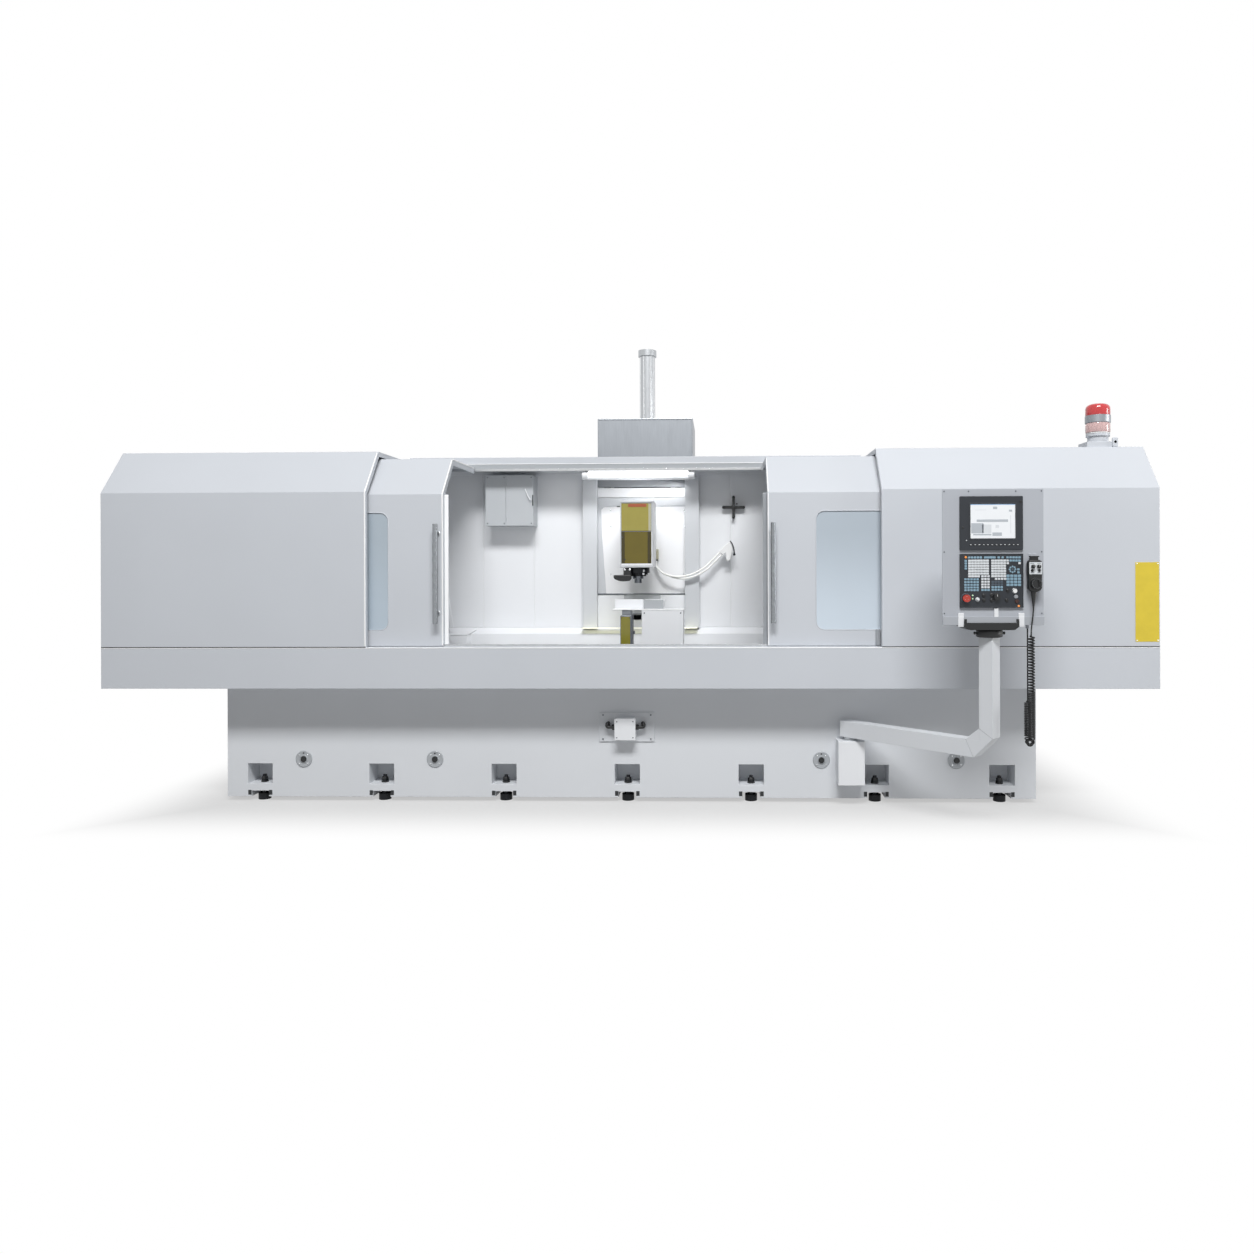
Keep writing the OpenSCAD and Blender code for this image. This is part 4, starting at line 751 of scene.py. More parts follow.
# Window tints; their lighter foot colours are painted reflection.
WINDOW_LEFT = Pane("tinted_window_left", "#A9B5BF", 0.16, foot="#B6C4D0")
WINDOW_RIGHT = Pane("tinted_window_right", "#B2BDC7", 0.16, foot="#D0DCE7")
LENS_RED = Clear("red_beacon_lens", "#D9363A", 0.14, through=0.25)
LENS_CLEAR = Clear("pink_clear_lens", "#E9C4C2", 0.1, through=0.45)
# Lit faces: even, and never fully dark.
LAMP = Glow("lit_opal_tube", "#FFFFFF", 0.3, strength=1.4)
SCREEN = Glow("lit_white_screen", "#E6E9EC", 0.15, strength=0.12)
SCREEN_GREY = Glow("lit_grey_field", "#AEB4BA", 0.15, strength=0.12)
SCREEN_BLUE = Glow("lit_blue_field", "#5C93C4", 0.15, strength=0.12)
SCREEN_PALE = Glow("lit_pale_field", "#CFD3D7", 0.15, strength=0.15)
# Painted light: the splash sheets glow, though they are no lamp.
CREAM_GLOW = Glow("cream_sheet_painted_glow", "#F7F5DA", 0.4, strength=0.45)
ORANGE_DOT = Glow("amber_indicator", "#E08A3C", 0.3, strength=0.4)
GREEN_DOT = Glow("green_indicator", "#B9D9B4", 0.3, strength=0.3)


@dataclass
class PaintShop:
    """Keeps each finish once it is made, and dresses CAD nodes with it."""

    nodes: dict[str, bpy.types.Object]
    made: dict[str, bpy.types.Material] = field(default_factory=dict)

    def coats(self, *finishes: Finish) -> list[bpy.types.Material]:
        """The materials of several finishes, in order, each made at its first use.

        Args:
            finishes: The finishes.

        Returns:
            Their materials.
        """
        for finish in finishes:
            if finish.name not in self.made:
                self.made[finish.name] = finish.make()
        return [self.made[finish.name] for finish in finishes]

    def dress(self, finish: Finish, *names: str) -> None:
        """Puts a finish on CAD nodes that stay as they are.

        Args:
            finish: What they wear.
            names: The nodes.
        """
        for name in names:
            for slot in self.nodes[name].material_slots:
                slot.material = self.coats(finish)[0]
            LOG.info("%s wears %s", name, finish.name)


@dataclass
class Studio:
    """Pale floor, white surroundings, soft light from the front and above, and the camera."""

    ambient: float = 0.2
    lens_mm: float = 26.33
    shift: tuple[float, float] = (-0.0551, -0.0455)
    camera_at: tuple[float, float, float] = (0.5839, -6.2160, 1.4486)
    camera_turn: tuple[float, float, float] = (math.pi / 2, 0.00316, 0.02604)
    footprint: tuple[float, float] = (2.5, 0.6)
    paper_grey: float = 0.42

    def camera(self) -> None:
        """Sets the camera where the photograph was taken from."""
        data = bpy.data.cameras.new("camera")
        data.lens, data.sensor_width, data.clip_end = self.lens_mm, 36.0, 200
        data.shift_x, data.shift_y = self.shift
        camera = bpy.data.objects.new("camera", data)
        camera.location, camera.rotation_euler = self.camera_at, self.camera_turn
        bpy.context.scene.collection.objects.link(camera)
        bpy.context.scene.camera = camera

    def seen(self, tree: Tree) -> Socket:
        """Gives 1 for a camera, glossy or transmission ray, and 0 for the light on a surface.

        Args:
            tree: The node tree that gets the nodes.

        Returns:
            The socket with that value.
        """
        path = add(tree, "ShaderNodeLightPath").outputs
        seen = path["Is Camera Ray"]
        for kind in ("Is Glossy Ray", "Is Transmission Ray"):
            seen = add(tree, "ShaderNodeMath", None, {0: seen, 1: path[kind]},
                       operation="MAXIMUM").outputs[0]
        return seen

    def world(self) -> None:
        """White to the eye, to metal and to glass, and dimmer as a source of light."""
        world = bpy.data.worlds.new("studio")
        bpy.context.scene.world = world
        world.use_nodes = True
        tree = world.node_tree
        level = add(tree, "ShaderNodeMapRange", {"To Min": self.ambient, "To Max": 1.0},
                    {"Value": self.seen(tree)})
        tree.links.new(level.outputs[0], tree.nodes["Background"].inputs["Strength"])
        tree.nodes["Background"].inputs["Color"].default_value = (1, 1, 1, 1)

    def paper(self) -> bpy.types.Material:
        """Pale floor that keeps the shadow near the machine and is plain white further off.

        With d = max(|x| - half length, |y| - half depth) from the footprint, white is mixed in by a
        smooth step of d, for camera, glossy and transmission rays alone.

        Returns:
            The material.
        """
        material = bpy.data.materials.new("pale_studio_paper")
        material.use_nodes = True
        tree = material.node_tree
        body, out = tree.nodes["Principled BSDF"], tree.nodes["Material Output"]
        body.inputs["Base Color"].default_value = (*[self.paper_grey] * 3, 1)
        body.inputs["Roughness"].default_value = 0.95
        body.inputs["Specular IOR Level"].default_value = 0.1
        axes = add(tree, "ShaderNodeSeparateXYZ", None,
                   {"Vector": add(tree, "ShaderNodeTexCoord").outputs["Object"]}).outputs
        far = []
        for axis, half in zip("XY", self.footprint):
            size = add(tree, "ShaderNodeMath", None, {0: axes[axis]}, operation="ABSOLUTE")
            far.append(add(tree, "ShaderNodeMath", {1: half}, {0: size.outputs[0]},
                           operation="SUBTRACT").outputs[0])
        gone = add(tree, "ShaderNodeMath", None, {0: far[0], 1: far[1]}, operation="MAXIMUM")
        fade = add(tree, "ShaderNodeMapRange", {"From Min": -0.05, "From Max": 0.75, "To Min": 0.5},
                   {"Value": gone.outputs[0]}, interpolation_type="SMOOTHSTEP")
        share = add(tree, "ShaderNodeMath", None, {0: self.seen(tree), 1: fade.outputs[0]},
                    operation="MULTIPLY")
        white = add(tree, "ShaderNodeEmission", {"Color": (1, 1, 1, 1)})
        mixed = add(tree, "ShaderNodeMixShader", None,
                    {0: share.outputs[0], 1: body.outputs[0], 2: white.outputs[0]})
        tree.links.new(mixed.outputs[0], out.inputs["Surface"])
        return material

    def lamp(self, name: str, watts: float, size: tuple[float, float], at: Sequence[float],
             towards: Sequence[float]) -> None:
        """Adds one soft area lamp.

        Args:
            name: Its name.
            watts: Its power.
            size: Its width and height in metres.
            at: Its place in the row frame.
            towards: The point it looks at.
        """
        data = bpy.data.lights.new(name, "AREA")
        data.energy, data.shape, data.size, data.size_y = watts, "RECTANGLE", *size
        lamp = bpy.data.objects.new(name, data)
        back = np.array(at, float) - np.array(towards, float)
        x, y, z = back / np.linalg.norm(back)
        lamp.location = at
        lamp.rotation_euler = (math.acos(z), 0, math.atan2(x, -y) if x or y else 0)
        bpy.context.scene.collection.objects.link(lamp)

    def build(self) -> None:
        """Camera, world, lamps and the floor."""
        self.camera()
        self.world()
        for name, watts, size, at, towards in (
                ("key", 1230, (6.0, 2.0), (0.9, -7.8, 9.8), (0.1, -0.5, 1.2)),
                ("side", 120, (1.6, 3.0), (8.0, -1.9, 2.4), (1.6, -0.9, 1.0)),
                ("work_light", 1.6, (0.66, 0.06), (0.025, 0.085, 2.06), (-0.1, 0.3, 1.2)),
                ("left_fill", 1.1, (0.9, 0.8), (-1.0, -0.45, 1.6), (-1.0, 0.5, 1.6)),
                ("right_fill", 0.3, (0.4, 0.8), (0.64, -0.45, 1.6), (0.64, 0.5, 1.6))):
            self.lamp(name, watts, size, at, towards)
        floor = Draft("studio_floor").put(plate(60000, 60000, 20, 100, 2), (0, 0, -20.5))
        floor.build(None, [self.paper()])


@dataclass
class Cords:
    """The handset's curly cord and the pair of wash hoses, on the routes of the solid model."""

    coil_x: float = 192.0
    cord_y: float = -99.0
    coil_top: float = 1100.0
    dense_top: float = 795.0
    turn_z: float = 550.0
    return_top: float = 742.0
    turn_r: float = 30.0
    curl_r: float = 15.0
    cord_d: float = 8.0
    curls: tuple[int, int, int, int] = (20, 27, 5, 21)
    hose_d: float = 13.0

    def curls_path(self) -> tuple[Array, Array]:
        """Centre line of the coil from the handset down, round the turn and up, with its side.

        The middle line goes down at two pitches, round half a circle and up; around it the cord's
        point stands off by r e^2 (cos a side + sin a (t x side)), where e opens the end turns.

        Returns:
            Points and radial directions about the pendant's post.
        """
        loose, dense, turn, back = self.curls
        u = np.linspace(0, sum(self.curls), 16 * sum(self.curls) + 1)
        u1, u2, u3 = u - loose, u - loose - dense, u - loose - dense - turn
        a = math.pi * np.clip(u2 / turn, 0, 1)
        where = [u <= loose, u1 <= dense, u2 <= turn]
        z = np.select(where, [self.coil_top - u * (self.coil_top - self.dense_top) / loose,
                              self.dense_top - u1 * (self.dense_top - self.turn_z) / dense,
                              self.turn_z - self.turn_r * np.sin(a)],
                      self.turn_z + u3 * (self.return_top - self.turn_z) / back)
        y = self.cord_y + self.turn_r * (1 - np.cos(a))
        middle = np.stack([np.full_like(u, self.coil_x), y, z], 1)
        cross = np.stack([0 * u, -np.cos(a), -np.sin(a)], 1)
        angle = 2 * math.pi * u[:, None]
        radial = np.cos(angle) * np.array([1.0, 0, 0]) + np.sin(angle) * cross
        e = np.minimum(np.minimum(1, u), sum(self.curls) - u)[:, None]
        return middle + self.curl_r * e * e * radial, radial

    def handset_cord(self, shop: PaintShop) -> None:
        """One cord from the cabinet's gland through the coil to the handset, and its relief."""
        coil, radial = self.curls_path()
        low = np.array([(self.coil_x, self.cord_y + 2 * self.turn_r, z)
                        for z in (1130, 1100, 1070, 1030, 990, 950, 910, 870, 830, 790, 750)])
        high = np.array([(x, self.cord_y, z) for x, z in (
            (192, 1108), (192, 1118), (193, 1135), (197, 1165), (201, 1200), (204, 1235),
            (205, 1270), (205, 1296), (205, 1305))])
        path = np.concatenate([low, coil[::-1], high]) + POST
        side = np.concatenate([np.tile([1.0, 0, 0], (len(low), 1)), radial[::-1],
                               np.tile([1.0, 0, 0], (len(high), 1))])
        cord = Draft("curly_handset_cord").put(tube(path, self.cord_d / 2, 10, side)).build(
            "pendant", shop.coats(CORD), ["handset_cord", "cord_tail"])
        relief = np.array([(x, self.cord_y, z) for x, z in (
            (205, 1328), (205, 1310), (204.8, 1292), (204.4, 1274), (204.2, 1258), (204.1, 1248))])
        radii = np.array([14, 13, 10.6, 8, 6, 4.8])
        Draft("handset_strain_relief").put(tube(relief + POST, radii, 14, ACROSS)).build(
            "pendant", shop.coats(BLACK))

    def wash_hoses(self, shop: PaintShop) -> None:
        """Two white hoses from the carriage's manifold to the wash gun."""
        route = np.array([(132, 1022, 1515), (132, 1022, 1502), (134, 1018, 1488),
                          (144, 1006, 1464), (166, 990, 1438), (198, 974, 1420),
                          (240, 964, 1408), (288, 960, 1402), (338, 958, 1406),
                          (390, 958, 1420), (440, 958, 1444), (488, 962, 1476),
                          (530, 970, 1518), (560, 974, 1548), (586, 974, 1574)], float)
        a = math.pi / 2 * np.clip((route[:, 0] - 190) / 140, 0, 1)
        second = route + np.stack([15 * np.sin(a), 17 * np.cos(a), -15 * np.sin(a)], 1)
        for name, points in (("front_wash_hose", route), ("rear_wash_hose", second)):
            path = through(points)
            hose = Draft(name).put(tube(path, self.hose_d / 2, 14, (0.7, 0.7, 0))).build(
                None, shop.coats(HOSE), ["wash_hose"])
            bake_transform(hose)

    def build(self, shop: PaintShop) -> None:
        """Makes the cord and the hoses."""
        self.handset_cord(shop)
        self.wash_hoses(shop)


@dataclass
class Enclosure:
    """Folded sheet covers, sill, beam, inner walls and the trim along their edges."""

    half_length: float = 3175.0
    sill_top: float = 987.5
    left_open: float = -1551.0
    right_open: float = 1545.0
    fold_z: float = 1926.0
    roof_z: float = 2195.0
    slope_run: float = 212.0
    beam_at: tuple[float, float, float] = (-4.0, 800.0, 2137.0)
    lining_z: tuple[float, float] = (1044.0, 2132.0)
    ledge_left: float = -1549.0
    plate_at: tuple[float, float] = (3101.0, 1251.5)

    def hems(self, shop: PaintShop) -> None:
        """Rolled hem along the open edge of each cover: up the front, the slope and the roof; the
        left one is near-white as a painted highlight.
        """
        for name, x, radius, finish in (
                ("left_cover_hem", self.left_open - 6, 5, WHITE_AND_HIGHLIGHT),
                ("right_cover_hem", self.right_open + 5, 4, ENCLOSURE)):
            edge = bent([(x, 2, self.sill_top + 6), (x, 2, self.fold_z),
                         (x, self.slope_run + 2, self.roof_z - 3), (x, 1046, self.roof_z - 3)], 16)
            Draft(name).put(tube(edge, radius, 10, ACROSS)).build("frame", shop.coats(finish))

    def seals(self, shop: PaintShop) -> None:
        """Dark rubber line between covers and sill, and a grey strip by the right opening that
        stands for the shade in the gap there.
        """
        draft = Draft("sill_seals")
        for low, high in ((-self.half_length + 2, self.left_open - 2),
                          (self.right_open + 2, self.half_length - 2)):
            draft.front((plate(high - low, 5.5, 2.6, 1, 0.8),
                         ((low + high) / 2, 1, self.sill_top + 1), 0))
        # Painted shade: grey strip in the gap at the right opening.
        draft.front((plate(26, 98, 12, 2, 2), (1530, 57.5, 1041), 1))
        draft.build("frame", shop.coats(DARK_SEAL_AND_SHADE, GREY_STRIP))

    def beam_band(self, shop: PaintShop) -> None:
        """Lower band of the beam in painted shade, and a rounded lip along the sill's top edge in
        near-white as a painted highlight.
        """
        x, y, z = self.beam_at
        end, lip_z = self.half_length - 2, self.sill_top - 4
        lip = bent([(-end, 1.5, lip_z), (0, 1.5, lip_z), (end, 1.5, lip_z)], 1)
        # Finish 0 is painted shade on the beam's underside; finish 1, on the thin line and the sill
        # lip, is a painted highlight.
        draft = Draft("beam_lower_band")
        draft.front((plate(3084, 40, 1.6, 1, 0.8), (x, y, z + 20.5), 0),
                    (plate(3084, 4, 3, 1, 1), (x, y, z + 43), 1))
        draft.put(tube(lip, 3.4, 10, UP), finish=1)
        draft.build("frame", shop.coats(BEAM_SHADE, WHITE_AND_HIGHLIGHT))

    def wall_sheets(self, shop: PaintShop) -> None:
        """Thin lining sheets on the rear wall, with a narrow seam between neighbours."""
        draft = Draft("wall_lining_sheets")
        low, high = self.lining_z
        for x0, x1 in ((-1548, -1109.5), (-1106.5, -743.5), (-740.5, -392), (442, 657),
                       (660, 1541)):
            draft.front((plate(x1 - x0, high - low, 1.4, 1, 1.2),
                         ((x0 + x1) / 2, 1050, (low + high) / 2), 0))
        draft.build("frame", shop.coats(INNER_WHITE))

    def ledge_plates(self, shop: PaintShop) -> None:
        """Box with a sloped lid on the left end of the ledge, a thin gusset and splash plates that
        glow as painted light.

        The lid is a level slab whose points are raised by 0.28 of their depth behind its front.
        """
        left = self.ledge_left
        points, faces = slab([(left, 905), (-1188, 905), (-1147, 1003), (-1147, 1046),
                              (left, 1046)], 6, 1.5)
        points[:, 2] += 996 + 0.28 * (points[:, 1] - 905)
        box = slab([(left, 908), (-1190, 908), (-1172, 951), (left, 951)], 95, 1)
        gusset = slab([(-1336, 1050), (-1279, 1050), (-1316, 1293), (-1336, 1293)], 4, 1)
        draft = Draft("ledge_plates").put((points, faces)).put(box, (0, 0, 904))
        draft.front((gusset, (0, 900, 0), 0))
        for width, x in ((450, -165), (96, 376)):
            draft.put(plate(width, 96, 1.6, 2, 0.8), (x, 956, 1041), Facing.TOP, 1)
        draft.build("frame", shop.coats(INNER_WHITE, CREAM_GLOW))

    def bare_plate(self, shop: PaintShop) -> None:
        """Plain yellow plate with four rivets at the right end of the front."""
        x, z = self.plate_at
        rivets = [(x + u, -1.2, z + w) for u in (-61, 61) for w in (-226, 226)]
        Draft("plain_yellow_plate").front(
            (plate(139, 469, 1.5, 4, 0.6), (x, 0.2, z), 0),
            (turned([(4, 0), (3.6, 1), (2, 1.8)], 12), rivets, 1),
        ).build("frame", shop.coats(YELLOW, SILVER_BOLT))

    def build(self, shop: PaintShop) -> None:
        """Dresses the sheets and adds the trim."""
        shop.dress(ENCLOSURE, "left_cover", "right_cover", "front_apron", "top_beam")
        shop.dress(INNER_WHITE, "trough_tray", "rear_wall")
        shop.dress(PILLAR_SHADED_WHITE, "guard_pillars")
        shop.dress(STEEL, "door_tracks")
        for make in (self.hems, self.seals, self.beam_band, self.wall_sheets, self.ledge_plates,
                     self.bare_plate):
            make(shop)


@dataclass
class Doors:
    """Two sliding doors: hems, window beads and handle feet."""

    window_low: float = 1087.0
    window_size: tuple[float, float] = (960.0, 716.0)
    handle_z: tuple[float, float] = (1189.0, 1671.0)

    def build(self, shop: PaintShop) -> None:
        """Dresses the doors and adds their trim, each piece on its own door."""
        shop.dress(ENCLOSURE, "left_door", "right_door")
        shop.dress(WINDOW_LEFT, "left_window")
        shop.dress(WINDOW_RIGHT, "right_window")
        shop.dress(HANDLE_TUBE, "left_handle", "right_handle")
        width, height = self.window_size
        bead = rim(width, height, 50, [(-3, 0), (-2, 1.6), (0.5, 2.2), (2.5, 1.2), (2.5, -3)])
        foot = turned([(19, 0), (19, 2), (17.5, 3.4), (13, 4)], 24)
        # Hems are near-white as a painted highlight; the left edge strip is too, and the right one
        # is grey, standing for shade.
        for side, window_x, handle, x, hem, strip, strip_finish in (
                ("left", -2395, -1133, -1104, 5, -1088, WHITE_AND_HIGHLIGHT),
                ("right", 1162, 903, 875, 4, 858, GREY_STRIP)):
            body = f"{side}_door"
            edge = bent([(x, 62, 994), (x, 62, 1915), (x, 272, 2151), (x, 780, 2151)], 16)
            Draft(f"{body}_hem").put(tube(edge, hem, 10, ACROSS)).build(body, shop.coats(WHITE_AND_HIGHLIGHT))
            Draft(f"{body}_trim").front(
                (bead, (window_x + width / 2, 60.3, self.window_low + height / 2), 0),
                (foot, [(handle, 60, z) for z in self.handle_z], 1),
            ).build(body, shop.coats(ENCLOSURE, STAINLESS))
            Draft(f"{body}_painted_edge_strip").front((plate(24, 920, 5, 2, 2), (strip, 96, 1453), 0)).build(
                body, shop.coats(strip_finish))


@dataclass
class Bed:
    """Machine bed: casting, guide ways, feet, lifting sockets and the cable entry."""

    front: float = 250.0
    socket_x: tuple[float, ...] = (-2044.5, -1210.5, 1210.5, 2044.5)
    socket_z: float = 264.0
    foot_pitch: float = 775.0

    def sockets(self, shop: PaintShop) -> None:
        """Grey discs, each with a black plug, four bolts and an index screw."""
        places = np.array([(x, self.front, self.socket_z) for x in self.socket_x])
        ring = on_circle((0, -4.6, 0), 38, (45, 135, 225, 315))
        Draft("lifting_sockets").front(
            (turned([(53, 0), (53, 2.5), (51.5, 4.5), (49, 5.6), (46, 4.8), (27, 4.8), (25, 7.5),
                     (22, 8.2), (20, 7)], 40), places, 0),
            (turned([(18.5, 0), (18.5, 10), (17, 13), (11, 14), (7, 13.2)], 24), places, 1),
            (screw(9, 3.2), (places[:, None] + ring[None]).reshape(-1, 3), 2),
            (turned([(4.5, 0), (4.2, 3), (2.5, 4)], 12), places + [0, -4.5, 38], 1),
        ).build("frame", shop.coats(GREY_DISC, BLACK, SILVER_BOLT), ["lifting_bar_flanges"])

    def foot_nuts(self, shop: PaintShop) -> None:
        """Flanged lock nut in each front pocket, and dark plates as painted shade at the back of
        the notch round the pad.
        """
        feet = [(i * self.foot_pitch, self.front) for i in range(-3, 4)]
        nut = turned([(24, 107), (24, 114), (21, 117), (18.5, 118), (20, 124), (20, 138),
                      (17, 142)], 6)
        draft = Draft("foot_lock_nuts").put(nut, [(x, y + 60, 0) for x, y in feet])
        # Painted shade: dark plates in the notch behind each pad.
        draft.front(
            (plate(150, 30, 3, 2, 1), [(x, y + 104, 54) for x, y in feet], 1),
            (plate(21, 30, 0.8, 1, 0.3), [(x + s, y, 52) for x, y in feet
                                          for s in (-66.5, 66.5)], 1))
        draft.build("frame", shop.coats(BLACK, DARK_SEAL_AND_SHADE))

    def cable_entry(self, shop: PaintShop) -> None:
        """Thin plate, white box with a lid, and a black elbow at each side."""
        y = self.front
        draft = Draft("cable_entry_box").front(
            (plate(345, 182, 8, 4, 1.2), (-0.5, y, 469), 0),
            (screw(11, 3.4), [(x, y - 7.8, z) for x in (-150, 149) for z in (394, 544)], 3),
            (plate(126, 131, 62, 3, 2), (-6, y - 8, 464.5), 1),
            (plate(130, 135, 10, 4, 2.4), (-6, y - 69.5, 464.5), 1),
            (screw(8, 1.8), [(x, y - 79.3, z) for x in (-56, 44) for z in (415, 514)], 3))
        pipe_y = y - 44
        for s, x0 in ((-1, -70.0), (1, 58.0)):
            path = bent([(x0 - 2 * s, pipe_y, 474), (x0 + 42 * s, pipe_y, 474),
                         (x0 + 52 * s, pipe_y, 478), (x0 + 50 * s, pipe_y, 497),
                         (x0 + 42 * s, pipe_y + 14, 498)], 8)
            draft.put(tube(path, 11, 16), finish=2)
            draft.front((turned([(13, 0), (13, 30), (11, 34)], 16), (x0 + 46 * s, y - 8, 486), 2))
            draft.put(tube([(x0 + d * s, pipe_y, 474) for d in (1, 3, 17, 19)],
                           np.array([15.5, 17.5, 17.5, 15.5]), 6, UP), finish=2)
        draft.build("frame", shop.coats(THIN_PLATE, INNER_WHITE, BLACK, GREY_BOLT),
                    ["bed_cable_box"])

    def build(self, shop: PaintShop) -> None:
        """Dresses the bed and adds its fittings."""
        shop.dress(CASTING, "bed_casting")
        shop.dress(STEEL, "guide_ways", "table_rod", "table_cylinder", "work_table")
        shop.dress(BLACKENED, "leveling_feet")
        self.sockets(shop)
        self.cable_entry(shop)
        self.foot_nuts(shop)


@dataclass
class WorkSpace:
    """What hangs in the work space: junction box, lamp, star grip and wash gun."""

    box_x: tuple[float, float, float] = (-1053.0, -910.0, -718.0)
    box_z: tuple[float, float] = (1762.0, 2115.0)
    lamp_x: tuple[float, float] = (-322.0, 372.0)
    star_at: tuple[float, float, float] = (681.0, 1010.5, 1891.0)

    def junction_box(self, shop: PaintShop) -> None:
        """Lid screws, and the quarter-turn latch with its curved lever on the door."""
        # The box wears grey darkened as painted shade.
        shop.dress(BOX_SHADED_GREY, "junction_box", "junction_box_door")
        x0, seam, x1 = self.box_x
        heights = (self.box_z[0] + 16, self.box_z[1] - 16)
        head = screw(9, 3)
        Draft("box_lid_screws").front(
            (head, [(x, 898.2, z) for x in (x0 + 14, seam - 12) for z in heights], 0),
        ).build("frame", shop.coats(GREY_BOLT))
        lever = through([(x1 - 56, 892, 2018), (x1 - 46, 889, 1994), (x1 - 34, 887, 1966),
                         (x1 - 20, 889, 1942)])
        draft = Draft("box_door_latch").front((head, [(x1 - 14, 897.9, z) for z in heights], 0))
        draft.put(tube(lever, np.linspace(2.5, 4.5, len(lever))), finish=1)
        draft.front((plate(7, 76, 5, 2, 1.5), (x1 - 3, 898, 1938), 2))
        draft.build("box_door", shop.coats(GREY_BOLT, INNER_WHITE, BLACK))

    def lamp(self, shop: PaintShop) -> None:
        """Lit tube with a rounded cap at each end, held by curved brackets."""
        shop.dress(INNER_WHITE, "work_lamp")
        left, right = self.lamp_x
        line = [(x, 812, 2114) for x in (left, left + 3, left + 10, right - 10, right - 3, right)]
        Draft("lit_lamp_tube").put(tube(line, np.array([6, 13, 18, 18, 13, 6.0]), 24)).build(
            "frame", shop.coats(LAMP), ["lamp_tube"])
        draft = Draft("lamp_end_brackets")
        for s, x in zip((-1, 1), self.lamp_x):
            path = bent([(x + 24 * s, 806, 2141), (x + 21 * s, 800, 2118), (x - 4 * s, 796, 2096),
                         (x - 44 * s, 796, 2093)], 14)
            draft.put(tube(path, np.linspace(5, 3, len(path))))
            draft.front((plate(16, 30, 20, 3, 2), (x + 8 * s, 822, 2116), 1))
        draft.build("frame", shop.coats(WHITE_AND_HIGHLIGHT, GREY_DISC))

    def star_grip(self, shop: PaintShop) -> None:
        """End bosses and a hub cap on the black cross."""
        shop.dress(BLACK, "star_handle")
        Draft("star_grip_bosses", self.star_at).front(
            (turned([(9, 0), (8.6, 3), (6, 5.2), (3, 6)], 20),
             on_circle(ORIGIN, 70, (0, 90, 180, 270)), 0),
            (turned([(15, 0), (14, 4), (8, 6), (7, 4.5), (3, 4.5)], 24), ORIGIN, 0),
            (turned([(5.5, 0), (5.5, 9), (4, 11)], 16), (23, 0, 23), 0),
        ).build("star_grip", shop.coats(BLACK))

    def wash_gun(self, shop: PaintShop) -> None:
        """White gun body, its nozzle ring and the dark curved lever with a ball end."""
        corners = [(-72, -26), (-62, -38), (-44, -52), (-26, -34), (-24, -84), (-12, -96),
                   (8, -86), (24, -10), (28, 26), (4, 46), (-48, 4)]
        lever = through([(655, 952, 1652), (668, 949, 1634), (678, 948, 1608), (683, 950, 1578),
                         (684, 953, 1560)])
        draft = Draft("wash_gun_body").front(
            (slab(softened(corners, 0.16), 34, 5), (650, 991, 1604), 0),
            (turned([(15, 0), (15, 52), (13, 56)], 20), (650, 1050, 1604), 0))
        draft.put(tube(lever, np.linspace(3, 5.5, len(lever)), 12), finish=1)
        draft.put(turned([(3, -8), (8, -5), (9.5, 0), (8, 5), (3, 8)], 18), (684, 953, 1556),
                  Facing.TOP, 1)
        draft.build("frame", shop.coats(WHITE_PLASTIC, PANEL_BLACK), ["wash_gun"])

    def build(self, shop: PaintShop) -> None:
        """Makes all four."""
        for make in (self.junction_box, self.lamp, self.star_grip, self.wash_gun):
            make(shop)


